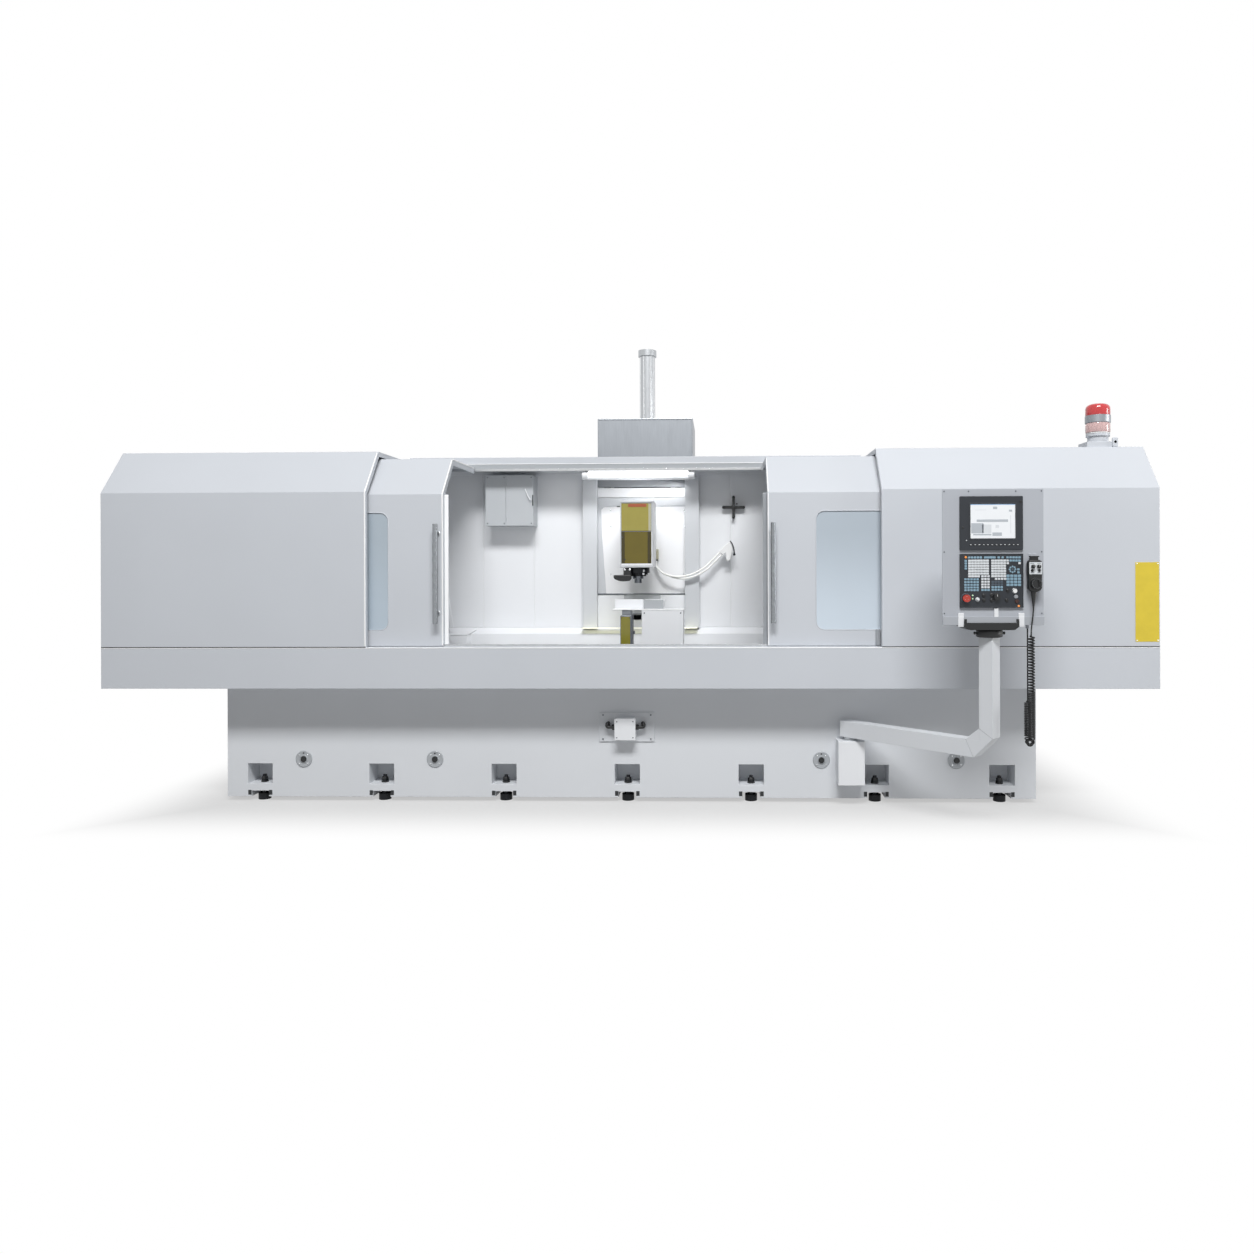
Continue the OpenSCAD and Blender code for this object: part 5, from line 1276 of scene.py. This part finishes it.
@dataclass
class Column:
    """Column, carriage with its cover plate, bellows, top box and the lift cylinder."""

    bellows_z: tuple[float, float] = (2036.0, 2203.0)
    bellows_folds: int = 29
    cover_y: float = 1060.2
    band_width: float = 664.0
    lift_y: float = 1580.0

    def bellows(self, shop: PaintShop) -> None:
        """Pleats: rings of a rounded rectangle, in turn wide and drawn in by 7 mm."""
        low, high = self.bellows_z
        fold = np.arange(self.bellows_folds)
        z = np.linspace(low, high, self.bellows_folds)
        rings = [np.c_[loop(408 - 2 * i, 35 - 2 * i, 4), np.full(RING, h)]
                 for i, h in zip(np.where(fold % 2, 7.0, 0.0), z)]
        piece = Draft("pleated_way_bellows").put(skin(np.stack(rings)), (MID_X, 1081.5, 0)).build(
            None, shop.coats(BELLOWS), ["way_bellows"], 20)
        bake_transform(piece)

    def carriage(self, shop: PaintShop) -> None:
        """White cover plate with screws, a grey band over it as painted shade of a recessed step,
        and a dark wiper under it.
        """
        cover = [(-229, 1284), (-222, 1277), (358, 1277), (358, 1899), (-243, 1899),
                 (-262, 1880), (-258, 1700)]
        y, wide = self.cover_y, self.band_width
        screws = [(x, 1055.4, z) for z in (1757, 1420, 1872) for x in (-195, 330)]
        Draft("carriage_cover_plate").front(
            (slab(cover, 5, 1.5), (0, y, 0), 0),
            (screw(14, 0.9), screws, 1),
            # Painted shade: grey band for the recessed, shaded step above the cover.
            (plate(wide, 58, 3, 2, 1), (MID_X, y, 1936), 2),
            (plate(wide, 66, 3, 2, 1), (MID_X, y, 2001), 0),
            (plate(wide, 9, 6, 2, 1.5), (MID_X, y, 1279), 3),
            (plate(26, 9, 8, 2, 2), [(-138, 1060, 1903), (118, 1060, 1903)], 4),
            (plate(wide, 7, 5, 2, 1.5), (MID_X, y, 1134), 3),
        ).build("carriage", shop.coats(CARRIAGE_PAINT, SILVER_BOLT, GREY_ENAMEL_AND_SHADE, GREY_BOLT, BLACK))

    def shade_sheet(self, shop: PaintShop) -> None:
        """Dark grey sheet between the guard pillars, above the carriage and in front of the
        bellows, standing for the shade there.
        """
        Draft("dark_sheet_painted_shade").front(
            (plate(self.band_width, 98, 2, 2, 1), (MID_X, 1048, 2088), 0),
            (screw(10, 3), [(-280, 1046.4, 2124), (340, 1046.4, 2124)], 1),
        ).build("frame", shop.coats(SHADE_SHEET_GREY, GREY_BOLT))

    def cylinder(self, shop: PaintShop) -> None:
        """Tie rods beside the barrel, and a faceted cap and collar."""
        draft = Draft("cylinder_tie_rods", (MID_X, self.lift_y, 0))
        draft.put(turned([(5, 2245), (5, 3088)], 12),
                  on_circle(ORIGIN, 58, (-30, -65, -115, -150, -210, -330), flat=True))
        draft.put(turned([(67, 3088), (69.5, 3092), (69.5, 3128), (66, 3133), (58, 3134.5)], 8),
                  finish=1)
        draft.put(turned([(66, 2580), (69, 2584), (69, 2602), (66, 2606)], 8), finish=1)
        draft.build("frame", shop.coats(SILVER_BOLT, TOP_BOX))

    def build(self, shop: PaintShop) -> None:
        """Dresses the column and adds the pieces above."""
        for finish, node in ((CASTING, "column_casting"), (GREY_ENAMEL_AND_SHADE, "carriage"),
                             (TOP_BOX, "column_top_box"), (STAINLESS, "lift_cylinder"),
                             (STEEL, "lift_rod"), (KHAKI, "hose_manifold")):
            shop.dress(finish, node)
        for make in (self.bellows, self.carriage, self.shade_sheet, self.cylinder):
            make(shop)
        Draft("top_box_edge").front(
            (rim(709, 338, 6, [(0, 0), (0, 3), (4, 4.5), (9, 3), (9, 0)]), (MID_X, 1350, 2409), 0),
        ).build("frame", shop.coats(TOP_BOX))


@dataclass
class Head:
    """Spindle head: panes in its front, bolts of the flange, nozzle and fittings."""

    axis: tuple[float, float, float] = (MID_X, 720.0, 0.0)
    hose_x: float = 132.0

    def panes(self, shop: PaintShop) -> None:
        """Upper amber pane with its red-brown strip and a strip in painted highlight; lower pane
        and its side strips in painted shade.
        """
        Draft("head_amber_panes").front(
            # Finish 0 is the lit amber; 1, 2 and 5 are painted shade; 3 is a painted highlight.
            (plate(182, 186, 4, 3, 1), (18, 625, 1801), 0),
            (plate(20, 186, 4, 1, 1), (118, 625.5, 1801), 3),
            (plate(122, 21, 1.6, 1, 0.6), (34, 621, 1880), 4),
            (plate(202, 214, 5, 2, 1.2), (26, 625.5, 1600), 1),
            (plate(24, 213, 1.6, 1, 0.6), (-62, 620.8, 1600), 2),
            (plate(22, 213, 1.6, 1, 0.6), (114, 620.8, 1600), 2),
            (plate(202, 5, 3, 1, 1), (26, 621.5, 1708.5), 5),
            (turned([(5, 0), (4.6, 1.6), (3, 2.2)], 14),
             [(-66, 619.6, 1668), (-48, 619.6, 1520)], 6),
        ).build("ram", shop.coats(AMBER, AMBER_SHADED, AMBER_SHADE, AMBER_HIGHLIT, WARM_STRIP,
                                  AMBER_SHADE, BLACK), ["head_window"])
        Draft("head_front_frame").front(
            (rim(218, 443, 4, [(-0.5, 0), (0, 3), (2, 4), (6, 3), (7, 0)]),
             (MID_X, 620.6, 1688.5), 0),
            (plate(216, 7, 4, 2, 1.5), [(MID_X, 620.6, 1478), (MID_X, 620.6, 1902)], 0),
            (rim(204, 190, 3, [(-1.5, -1), (-1.5, 1.6), (1.5, 1.6), (1.5, -1)]),
             (28, 620.4, 1801), 1),
        ).build("ram", shop.coats(GREY_ENAMEL_AND_SHADE, GREY_RIM_AND_SHADE))

    def flange(self, shop: PaintShop) -> None:
        """Silver cap screws round the black flange, with a stepped ring and a clamp nut."""
        draft = Draft("flange_cap_screws")
        draft.put(turned([(4, 1415), (5, 1416), (8, 1417), (9, 1419), (9, 1431)], 16),
                  on_circle(self.axis, 66, (-133, -53, 47, 127), flat=True))
        draft.front((turned([(10.5, -4), (10.5, 4), (9, 7), (6, 9), (5.5, 7), (2, 7)], 20),
                     [(-17, 662, 1444), (71, 660, 1444)], 0))
        draft.build("ram", shop.coats(SILVER_BOLT))
        nose = Draft("spindle_nose_rings")
        nose.put(turned([(31, 1392.4), (35, 1394), (36.5, 1397), (36.5, 1406), (33, 1407.6)], 36),
                 self.axis)
        nose.put(turned([(3, 1388.6), (4, 1389), (4, 1393)], 10),
                 on_circle(self.axis, 30, range(0, 360, 60), flat=True), finish=1)
        nose.build("spindle", shop.coats(NOSE_STEEL, SILVER_BOLT))

    def nozzle(self, shop: PaintShop) -> None:
        """Black coolant nozzle: a flat body with a sloped foot, its block and a pipe stub."""
        side = [(-59, 21), (59, 21), (59, -6), (44, -20), (6, -22), (-20, -20), (-50, -8), (-59, 2)]
        Draft("coolant_nozzle_body").front(
            (slab(softened(side[::-1], 0.08), 32, 4), (-67, 658, 1395.5), 0),
            (plate(50, 50, 30, 3, 3), (-34, 658, 1439), 0),
            (turned([(7, 0), (7, 3), (5, 4)], 6), [(-50, 628, 1452), (-18, 628, 1452)], 1),
        ).build("ram", shop.coats(BLACK, SILVER_BOLT), ["coolant_nozzle"])

    def manifold(self, shop: PaintShop) -> None:
        """Plate screws on the hose manifold and the dark collars of its fittings."""
        draft = Draft("manifold_fittings")
        draft.put(turned([(9.5, 1514), (10.5, 1516), (10.5, 1524), (9, 1526)], 6),
                  [(self.hose_x, 1022, 0), (self.hose_x, 1039, 0)])
        draft.front((screw(6, 2), [(self.hose_x + u, 1010, 1588) for u in (-8, 8)], 1))
        draft.build("carriage", shop.coats(BLACKENED, SILVER_BOLT))

    def build(self, shop: PaintShop) -> None:
        """Dresses the head and adds its fittings."""
        shop.dress(CARRIAGE_PAINT, "spindle_head")
        shop.dress(BLACKENED, "spindle_cartridge")
        shop.dress(NOSE_STEEL, "spindle_rotor")
        for make in (self.panes, self.flange, self.nozzle, self.manifold):
            make(shop)


@dataclass
class Dresser:
    """Dresser on the table: white drive box and shelf, and the unit with its amber pane."""

    shelf_z: float = 1194.0
    box_screws: tuple[tuple[float, float], tuple[float, float]] = ((96, 330), (930, 1172))

    def build(self, shop: PaintShop) -> None:
        """Dresses the box, rounds its shelf and makes the unit."""
        shop.dress(INNER_WHITE, "dresser_housing")
        z = self.shelf_z
        # The shelf's lip is near-white as a painted highlight on its front edge.
        lip = bent([(-110, 421, z), (-108, 420.5, z), (348, 420.5, z), (350, 421, z)], 1)
        across, heights = self.box_screws
        Draft("dresser_shelf_lip").put(tube(lip, 3.2, 10, UP)).front(
            (screw(9, 3), [(x, 420, h) for x in across for h in heights], 1),
            # Painted shade: thin grey plate on the right half of the drive box.
            (plate(126, 58, 1.4, 1, 0.6), (152, 490, 1227), 2),
        ).build("table", shop.coats(WHITE_AND_HIGHLIGHT, GREY_BOLT, GREY_RIM_AND_SHADE))
        unit = Draft("dresser_unit_body").front(
            (plate(72, 252, 158, 3, 2), (-24.5, 588, 1027), 1),
            (plate(60, 240, 3, 2, 1), (-26, 431, 1028), 0),
            (plate(60, 34, 100, 4, 3), (-24, 574, 1171), 2),
            (plate(70, 10, 152, 2, 2), (-24.5, 586, 1151), 2))
        unit.put(turned([(11, 0), (11, 9), (9, 12)], 20), (12, 540, 1040), Facing.RIGHT, 1)
        unit.front((screw(7, 2), [(x, 428.4, h) for x in (-50, -2) for h in (915, 1141)], 3))
        unit.build("table", shop.coats(AMBER_GREEN, SLATE, TOP_BOX, BLACK), ["dresser_unit"])


@dataclass
class Beacon:
    """Signal lamp on the right cover: red over clear on a rounded base."""

    middle: tuple[float, float, float] = (2938.0, 300.0, 0.0)

    def build(self, shop: PaintShop) -> None:
        """Turned lens in bands, with a rim, and a lug with its dark screw on the base."""
        shop.dress(ENCLOSURE, "beacon_base")
        lens = Draft("beacon_lens_stack", self.middle)
        for finish, profile in (
                (3, [(62, 2283), (66, 2284), (70, 2287), (70, 2292), (67, 2294)]),
                (1, [(71, 2294), (73, 2297), (73, 2346), (70, 2352)]),
                (2, [(72, 2352), (75, 2355), (75, 2398), (73, 2400)]),
                (0, [(72, 2400), (73, 2403), (73, 2440), (70.5, 2452), (64, 2462), (52, 2469),
                     (34, 2473), (12, 2474.4)])):
            lens.put(turned(profile, 48), finish=finish)
        lens.build("frame", shop.coats(LENS_RED, LENS_CLEAR, TOP_BOX, WHITE_PLASTIC),
                   ["beacon_lens"])
        Draft("beacon_base_lug").front(
            (plate(34, 58, 14, 8, 3), (3012, 232, 2226), 0),
            (turned([(8, 0), (8, 2), (6, 3), (5.5, 0.5)], 16), (3012, 218.5, 2228), 1),
        ).build("frame", shop.coats(ENCLOSURE, BLACK))


@dataclass
class SwingArm:
    """White arm from its mount on the bed to the post under the pendant."""

    pivot: tuple[float, float, float] = (1379.0, 185.0, 0.0)
    angle: float = 44.7
    half_width: float = 40.0

    def placed(self, points: Sequence[tuple[float, float]] | Array, out: float) -> Array:
        """Machine place of points (s, z) of the arm's plane: pivot + s along + z up + out side.

        Args:
            points: Distance from the pivot and height.
            out: How far towards the arm's front face.

        Returns:
            The places.
        """
        turn = math.radians(self.angle)
        along = np.array([math.cos(turn), -math.sin(turn), 0])
        side = np.array([-math.sin(turn), -math.cos(turn), 0])
        s, z = np.array(points, float).T[:, :, None]
        return np.array(self.pivot) + s * along + z * np.array([0, 0, 1.0]) + out * side

    def build(self, shop: PaintShop) -> None:
        """Dresses the arm; adds the mount's lid and washer, and the elbow's gusset and welds."""
        shop.dress(ARM_WHITE, "swing_arm")
        shop.dress(CASTING, "arm_mount")
        lid = Draft("arm_mount_lid").front((plate(157, 266, 3, 3, 1.4), (1379.5, 120, 269), 0))
        lid.put(turned([(46, 404.4), (46, 410), (43, 412), (30, 412)], 40), self.pivot, finish=1)
        lid.build("frame", shop.coats(INNER_WHITE, STAINLESS))
        corner = [(806, 517), (892, 517), (892, 586)]
        elbow = Draft("arm_elbow_gusset").put(skin(np.stack(
            [self.placed(corner, out) for out in (-self.half_width, self.half_width)])))
        for start, end in (((809, 519), (855, 424)), ((890, 584), (969, 538))):
            weld = self.placed(np.linspace(start, end, 3), self.half_width)
            elbow.put(tube(weld, 1.1, 8, UP), finish=1)
        elbow.build("arm", shop.coats(ARM_WHITE, GREY_DISC))


@dataclass
class Pendant:
    """Operator's cabinet: back plate, display, key panel, yoke and the controls."""

    face_y: float = -82.0
    left: float = -177.0
    display_top: float = 1837.0
    panel_top: float = 1530.0
    plate_y: float = -78.0
    stop_at: tuple[float, float] = (-147.0, 1293.0)
    start_at: tuple[float, float] = (111.0, 1332.0)

    def spot(self, right: float, down: float, top: float, out: float = 0.0) -> list[float]:
        """Place about the post of a point given from a panel's top left corner."""
        return [self.left + right, self.face_y - out, top - down]

    def keys(self, first: tuple[float, float], counts: tuple[int, int],
             pitch: tuple[float, float]) -> Array:
        """Places of a block of key caps: first + (i px, j py), row by row.

        Args:
            first: Place of the first cap from the panel's top left corner.
            counts: Caps across and down.
            pitch: Steps across and down.

        Returns:
            One place in each row.
        """
        x, z = np.meshgrid(first[0] + np.arange(counts[0]) * pitch[0],
                           first[1] + np.arange(counts[1]) * pitch[1])
        return np.stack([self.left + x.ravel(), np.full(x.size, self.face_y + 0.6),
                         self.panel_top - z.ravel()], 1)

    def display(self, shop: PaintShop) -> None:
        """Dark bezel with a lit screen in a recess, soft keys, a knob and a lamp."""
        top = self.display_top
        middle = self.spot(174, 134, top)
        soft = np.array([self.spot(x, 259, top, -0.4) for x in np.linspace(57, 305, 12)])
        draft = Draft("display_unit_face", POST).front(
            (plate(334, 288, 12, 5, 2.5), self.spot(167, 144, top, -12), 0),
            (rim(244, 190, 4, [(-4, 0), (-3, 2), (0, 2.6), (3, 1), (3, 0)]), middle, 0),
            (plate(236, 182, 0.8, 2, 0.5), middle, 1))
        for x, z, w, h, finish in (
                (174, 45, 236, 3, 3), (186, 63, 22, 13, 2), (267, 78, 17, 10, 2),
                (171, 131, 166, 13, 2), (92, 171, 66, 54, 2), (141, 174, 50, 46, 4),
                (197, 161, 18, 16, 4), (196, 203, 50, 18, 2), (268, 150, 3, 96, 4),
                (110, 74, 60, 2, 4), (118, 205, 96, 8, 2)):
            draft.front((plate(w, h, 0.5, 0.8, 0.3), self.spot(x, z, top, 0.7), finish))
        draft.front(
            (plate(15, 9, 2.4, 2, 1), soft, 5),
            (plate(8, 3, 0.6, 1, 0.3), soft + [0, -2.2, 0], 6),
            (turned([(6, 0), (6, 2.5), (4.5, 3.4)], 18), self.spot(15, 168, top), 5),
            (plate(16, 13, 1.2, 2, 0.8), self.spot(321, 31, top), 5),
            (turned([(3, 0), (3, 1.4), (2, 2)], 12), self.spot(34, 236, top), 6))
        draft.build("pendant", shop.coats(PANEL_BLACK, SCREEN, SCREEN_GREY, SCREEN_BLUE,
                                          SCREEN_PALE, BLACK, KEY_WHITE), ["display_unit"])

    def operator(self, shop: PaintShop) -> None:
        """Key blocks, lamps and dials on the dark panel; the hole for each button stays."""
        cap, wide = plate(13, 11, 2.4, 2.2, 1.1), plate(15, 11.5, 2.4, 2.2, 1.1)
        big = plate(17, 13, 2.4, 2.2, 1.1)
        draft = Draft("operator_panel_keys", POST)
        for first, counts, pitch, finish, shape in (
                ((48, 20), (5, 1), (15.4, 13), 1, cap), ((134, 20), (4, 1), (15.4, 13), 1, wide),
                ((204, 20), (2, 1), (21, 13), 1, cap), ((251, 20), (5, 1), (15.6, 13), 1, cap),
                ((30, 38), (1, 4), (16, 13.6), 1, cap), ((50, 37), (7, 6), (15.8, 13.8), 0, wide),
                ((50, 120), (4, 1), (15.8, 13.8), 0, wide),
                ((118, 120), (3, 5), (15.8, 14.6), 0, cap), ((28, 136), (5, 1), (16, 14), 1, cap),
                ((28, 151), (5, 2), (16, 14.6), 1, cap), ((28, 180), (5, 2), (16, 14), 1, cap),
                ((118, 193), (3, 1), (15.8, 14), 1, cap),
                ((172, 37), (5, 7), (15.8, 13.8), 0, wide),
                ((190, 134), (4, 1), (15.8, 13.8), 0, cap),
                ((172, 150), (4, 2), (15.8, 14), 2, cap), ((172, 178), (4, 2), (15.8, 14), 1, cap),
                ((251, 37), (1, 2), (15, 14), 0, cap), ((267, 37), (4, 1), (15.4, 14), 1, cap),
                ((314, 51), (1, 1), (15, 14), 0, cap), ((253, 118), (4, 4), (20, 16), 1, big),
                ((308, 84), (1, 2), (15, 16), 1, cap)):
            draft.front((shape, self.keys(first, counts, pitch), finish))
        sunk = self.spot(277, 84, self.panel_top, -0.6)
        dial = on_circle(sunk, 15, range(0, 360, 45))
        draft.front((turned([(5, 0), (5, 1.8), (4, 2.4)], 12), dial, 1),
                    (turned([(6.5, 0), (6.5, 1.8), (5, 2.4)], 16), sunk, 2))
        for profile, sides, places, finish in (
                ([(6, 0), (6, 1.6), (4.5, 2.6)], 16, [(30, 18), (309, 279)], 3),
                ([(4.2, 0), (4.2, 1.6), (3, 2.6)], 14, [(66, 222), (66, 240)], 4),
                ([(12, 0), (12, 2), (8, 8), (6.5, 15), (4, 17)], 24, [(92, 244)], 0),
                ([(9.5, 0), (9.5, 2), (7.5, 3), (7, 8), (5.5, 9)], 24,
                 [(125, 222), (125, 247), (166, 220), (166, 247), (245, 247), (251, 196)], 5),
                ([(21, 0), (21, 1), (18.5, 1.6)], 36, [(192, 230)], 5),
                ([(10.5, 0), (10.5, 3), (8, 5)], 24, [(295, 229)], 6),
                ([(11, 0), (11, 3), (9, 6), (6, 6.5)], 24, [(299, 254)], 7)):
            draft.front((turned(profile, sides),
                         [self.spot(x, z, self.panel_top) for x, z in places], finish))
        draft.front((rim(334, 287, 5, [(0, 0), (1, 1.4), (3, 1.8), (5, 1), (5, 0)]),
                     self.spot(167, 143.5, self.panel_top), 8))
        draft.build("pendant", shop.coats(KEY_WHITE, KEY_BLUE, KEY_DARK, ORANGE_DOT, GREEN_DOT,
                                          BLACK, GREY_STRIP, BROWN_BUTTON, PANEL_BLACK))
        shop.dress(PANEL_BLACK, "operator_panel")

    def controls(self, shop: PaintShop) -> None:
        """Caps over the moving buttons: mushroom, round white button and the pointer knob."""
        shop.dress(RED_PLASTIC, "estop_button")
        shop.dress(WHITE_PLASTIC, "start_button")
        shop.dress(BLACK, "override_knob")
        x, z = self.stop_at
        Draft("estop_turn_arrows", POST).front(
            (plate(3.6, 1.6, 0.6, 0.6, 0.3), on_circle((x, -104.4, z), 10, (90, 210, 330)), 0),
            (rim(39, 39, 19.5, [(-0.5, 0), (0, 1.6), (1.6, 1.6), (2.4, 0)]), (x, -100.5, z), 1),
        ).build("estop", shop.coats(WHITE_PLASTIC, RED_PLASTIC))
        Draft("button_collars", POST).front(
            (rim(52, 52, 26, [(0, 0), (0, 1.6), (2, 2.6), (4.5, 1.8), (5.4, 0)]),
             (x, -81.8, z), 0),
            (rim(29, 29, 14.5, [(0, 0), (0, 1.6), (1, 2.2), (2.4, 1.6), (3.1, 0)]),
             (self.start_at[0], -81.8, self.start_at[1]), 1),
        ).build("pendant", shop.coats(KEY_DARK, STAINLESS))
        Draft("override_pointer", POST).front(
            (plate(2, 12, 1, 0.8, 0.5), (15, -99.6, 1309), 0),
        ).build("override", shop.coats(WHITE_PLASTIC))

    def cabinet(self, shop: PaintShop) -> None:
        """Back plate's screws, the white hinge tabs and centre tab, and the yoke's side knobs."""
        shop.dress(CABINET_GREY, "pendant_cabinet")
        tab_y = self.plate_y + 4.5
        screws = [(x, -70, 1864) for x in (-258, -128, 122, 258)]
        screws += [(x, -70, z) for x in (-258, 258) for z in (1540, 1212)]
        Draft("cabinet_tabs_and_screws", POST).front(
            (plate(30, 74, 6, 3, 1.5), [(-172, tab_y, 1177), (148, tab_y, 1177)], 0),
            (plate(22, 72, 5, 3, 1.5), (15.5, tab_y, 1204), 0),
            (plate(534, 45, 1.6, 2, 0.8), (0, self.plate_y + 0.4, 1172), 2),
            (screw(8, 2.4), screws, 1),
        ).build("pendant", shop.coats(INNER_WHITE, GREY_BOLT, STRIP_GREY))
        knob = turned([(5, 0), (5, 8), (8, 9), (8.5, 14), (7, 17)], 20)
        bar = [(-122, 1123), (100, 1123), (113, 1125.5), (134, 1141), (133, 1182), (120, 1182),
               (120, 1162), (-143, 1162), (-143, 1182), (-156, 1182), (-157, 1139),
               (-136, 1125.5)]
        yoke = Draft("yoke_knobs", POST)
        yoke.put(knob, (67, 0, 1102), Facing.RIGHT)
        yoke.put(knob, (-67, 0, 1102), Facing.LEFT)
        yoke.put(turned([(58, 1079.4), (65, 1081), (68.5, 1084), (69.5, 1088), (69.5, 1116),
                         (67, 1120), (63, 1121), (63, 1125)], 48))
        yoke.front((slab(bar, 172, 3), (0, 82, 0), 0))
        yoke.build("pendant", shop.coats(BLACK), ["pendant_yoke"])

    def build(self, shop: PaintShop) -> None:
        """Makes the cabinet, then what is set in its face."""
        for make in (self.cabinet, self.display, self.operator, self.controls):
            make(shop)


@dataclass
class Handset:
    """Hand wheel unit at the side of the cabinet: body, clip, plate, knobs and wheel."""

    face: tuple[float, float, float] = (209.0, -122.0, 0.0)
    wheel_z: float = 1371.0

    def body(self, shop: PaintShop) -> None:
        """Body that narrows under its shoulders and swells round the wheel, with the top clip."""
        swell = on_circle((0, 0, -58), 41, range(-150, -29, 10))[:, [0, 2]]
        outline = [*swell, (35, -24), (37, 4), (38, 52), (34, 66), (23, 72), (-23, 72), (-34, 66),
                   (-38, 52), (-37, 4), (-35, -24)]
        Draft("handset_shell", POST + self.face).front(
            (slab(outline, 40, 6), (0, 42, 1424), 0),
            (plate(40, 24, 20, 3, 2.5), (0, 36, 1504), 0),
            (plate(48, 6, 24, 2, 2), (0, 38, 1514), 0),
            (plate(66, 64, 1.6, 3, 0.7), (0, 2.6, 1452), 1),
            (plate(20, 2.4, 0.5, 0.8, 0.3),
             [(x, 1.2, z) for x in (-18, 18) for z in (1478, 1428)], 2),
            (turned([(7.5, 0), (7.5, 4), (5.5, 6)], 20), [(-19, 2, 1440), (19, 2, 1440)], 0),
            (rim(62, 62, 31, [(0, 0), (0, 2), (1.5, 3), (2.8, 1)]), (0, 2, self.wheel_z), 0),
        ).build("pendant", shop.coats(BLACK, KEY_WHITE, KEY_DARK), ["handset_body"])

    def wheel(self, shop: PaintShop) -> None:
        """Milled rim, dished face and crank boss on the hand wheel; pointers on the knobs."""
        shop.dress(BLACK, "handset_wheel", "handset_axis_knob", "handset_step_knob")
        Draft("hand_wheel_face", POST + self.face + [0, -14, self.wheel_z]).front(
            (rim(56, 56, 28, [(-0.4, 0), (0, 3), (1.6, 4.6), (4.5, 4), (6, 0)]), ORIGIN, 0),
            (turned([(0.9, 0), (0.9, 0.6), (0.5, 0.8)], 6),
             on_circle((0, -4.2, 0), 24, range(0, 360, 10)), 1),
            (turned([(6, 0), (6, 7), (4.5, 9)], 20), (12, -1, 10), 0),
        ).build("hand_wheel", shop.coats(BLACK, GREY_STRIP))
        for body, x in (("axis_knob", -15), ("step_knob", 15)):
            Draft(f"{body}_pointer", POST + self.face).front(
                (plate(1.8, 8, 0.9, 0.7, 0.4), (x, -16.4, 1465), 0),
            ).build(body, shop.coats(WHITE_PLASTIC))

    def build(self, shop: PaintShop) -> None:
        """Makes the body and the wheel."""
        self.body(shop)
        self.wheel(shop)


def main() -> None:
    """Builds every sub-assembly in order."""
    logging.basicConfig(level=logging.INFO, format="%(message)s")
    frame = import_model()
    shop = PaintShop(frame["nodes"])
    Studio().build()
    for part in (Cords(), Enclosure(), Doors(), Bed(), WorkSpace(), Column(), Head(), Dresser(),
                 Beacon(), SwingArm(), Pendant(), Handset()):
        LOG.info("making %s", type(part).__name__)
        part.build(shop)
    scene = bpy.context.scene
    scene.view_settings.view_transform = "Standard"


if __name__ == "__main__":
    main()
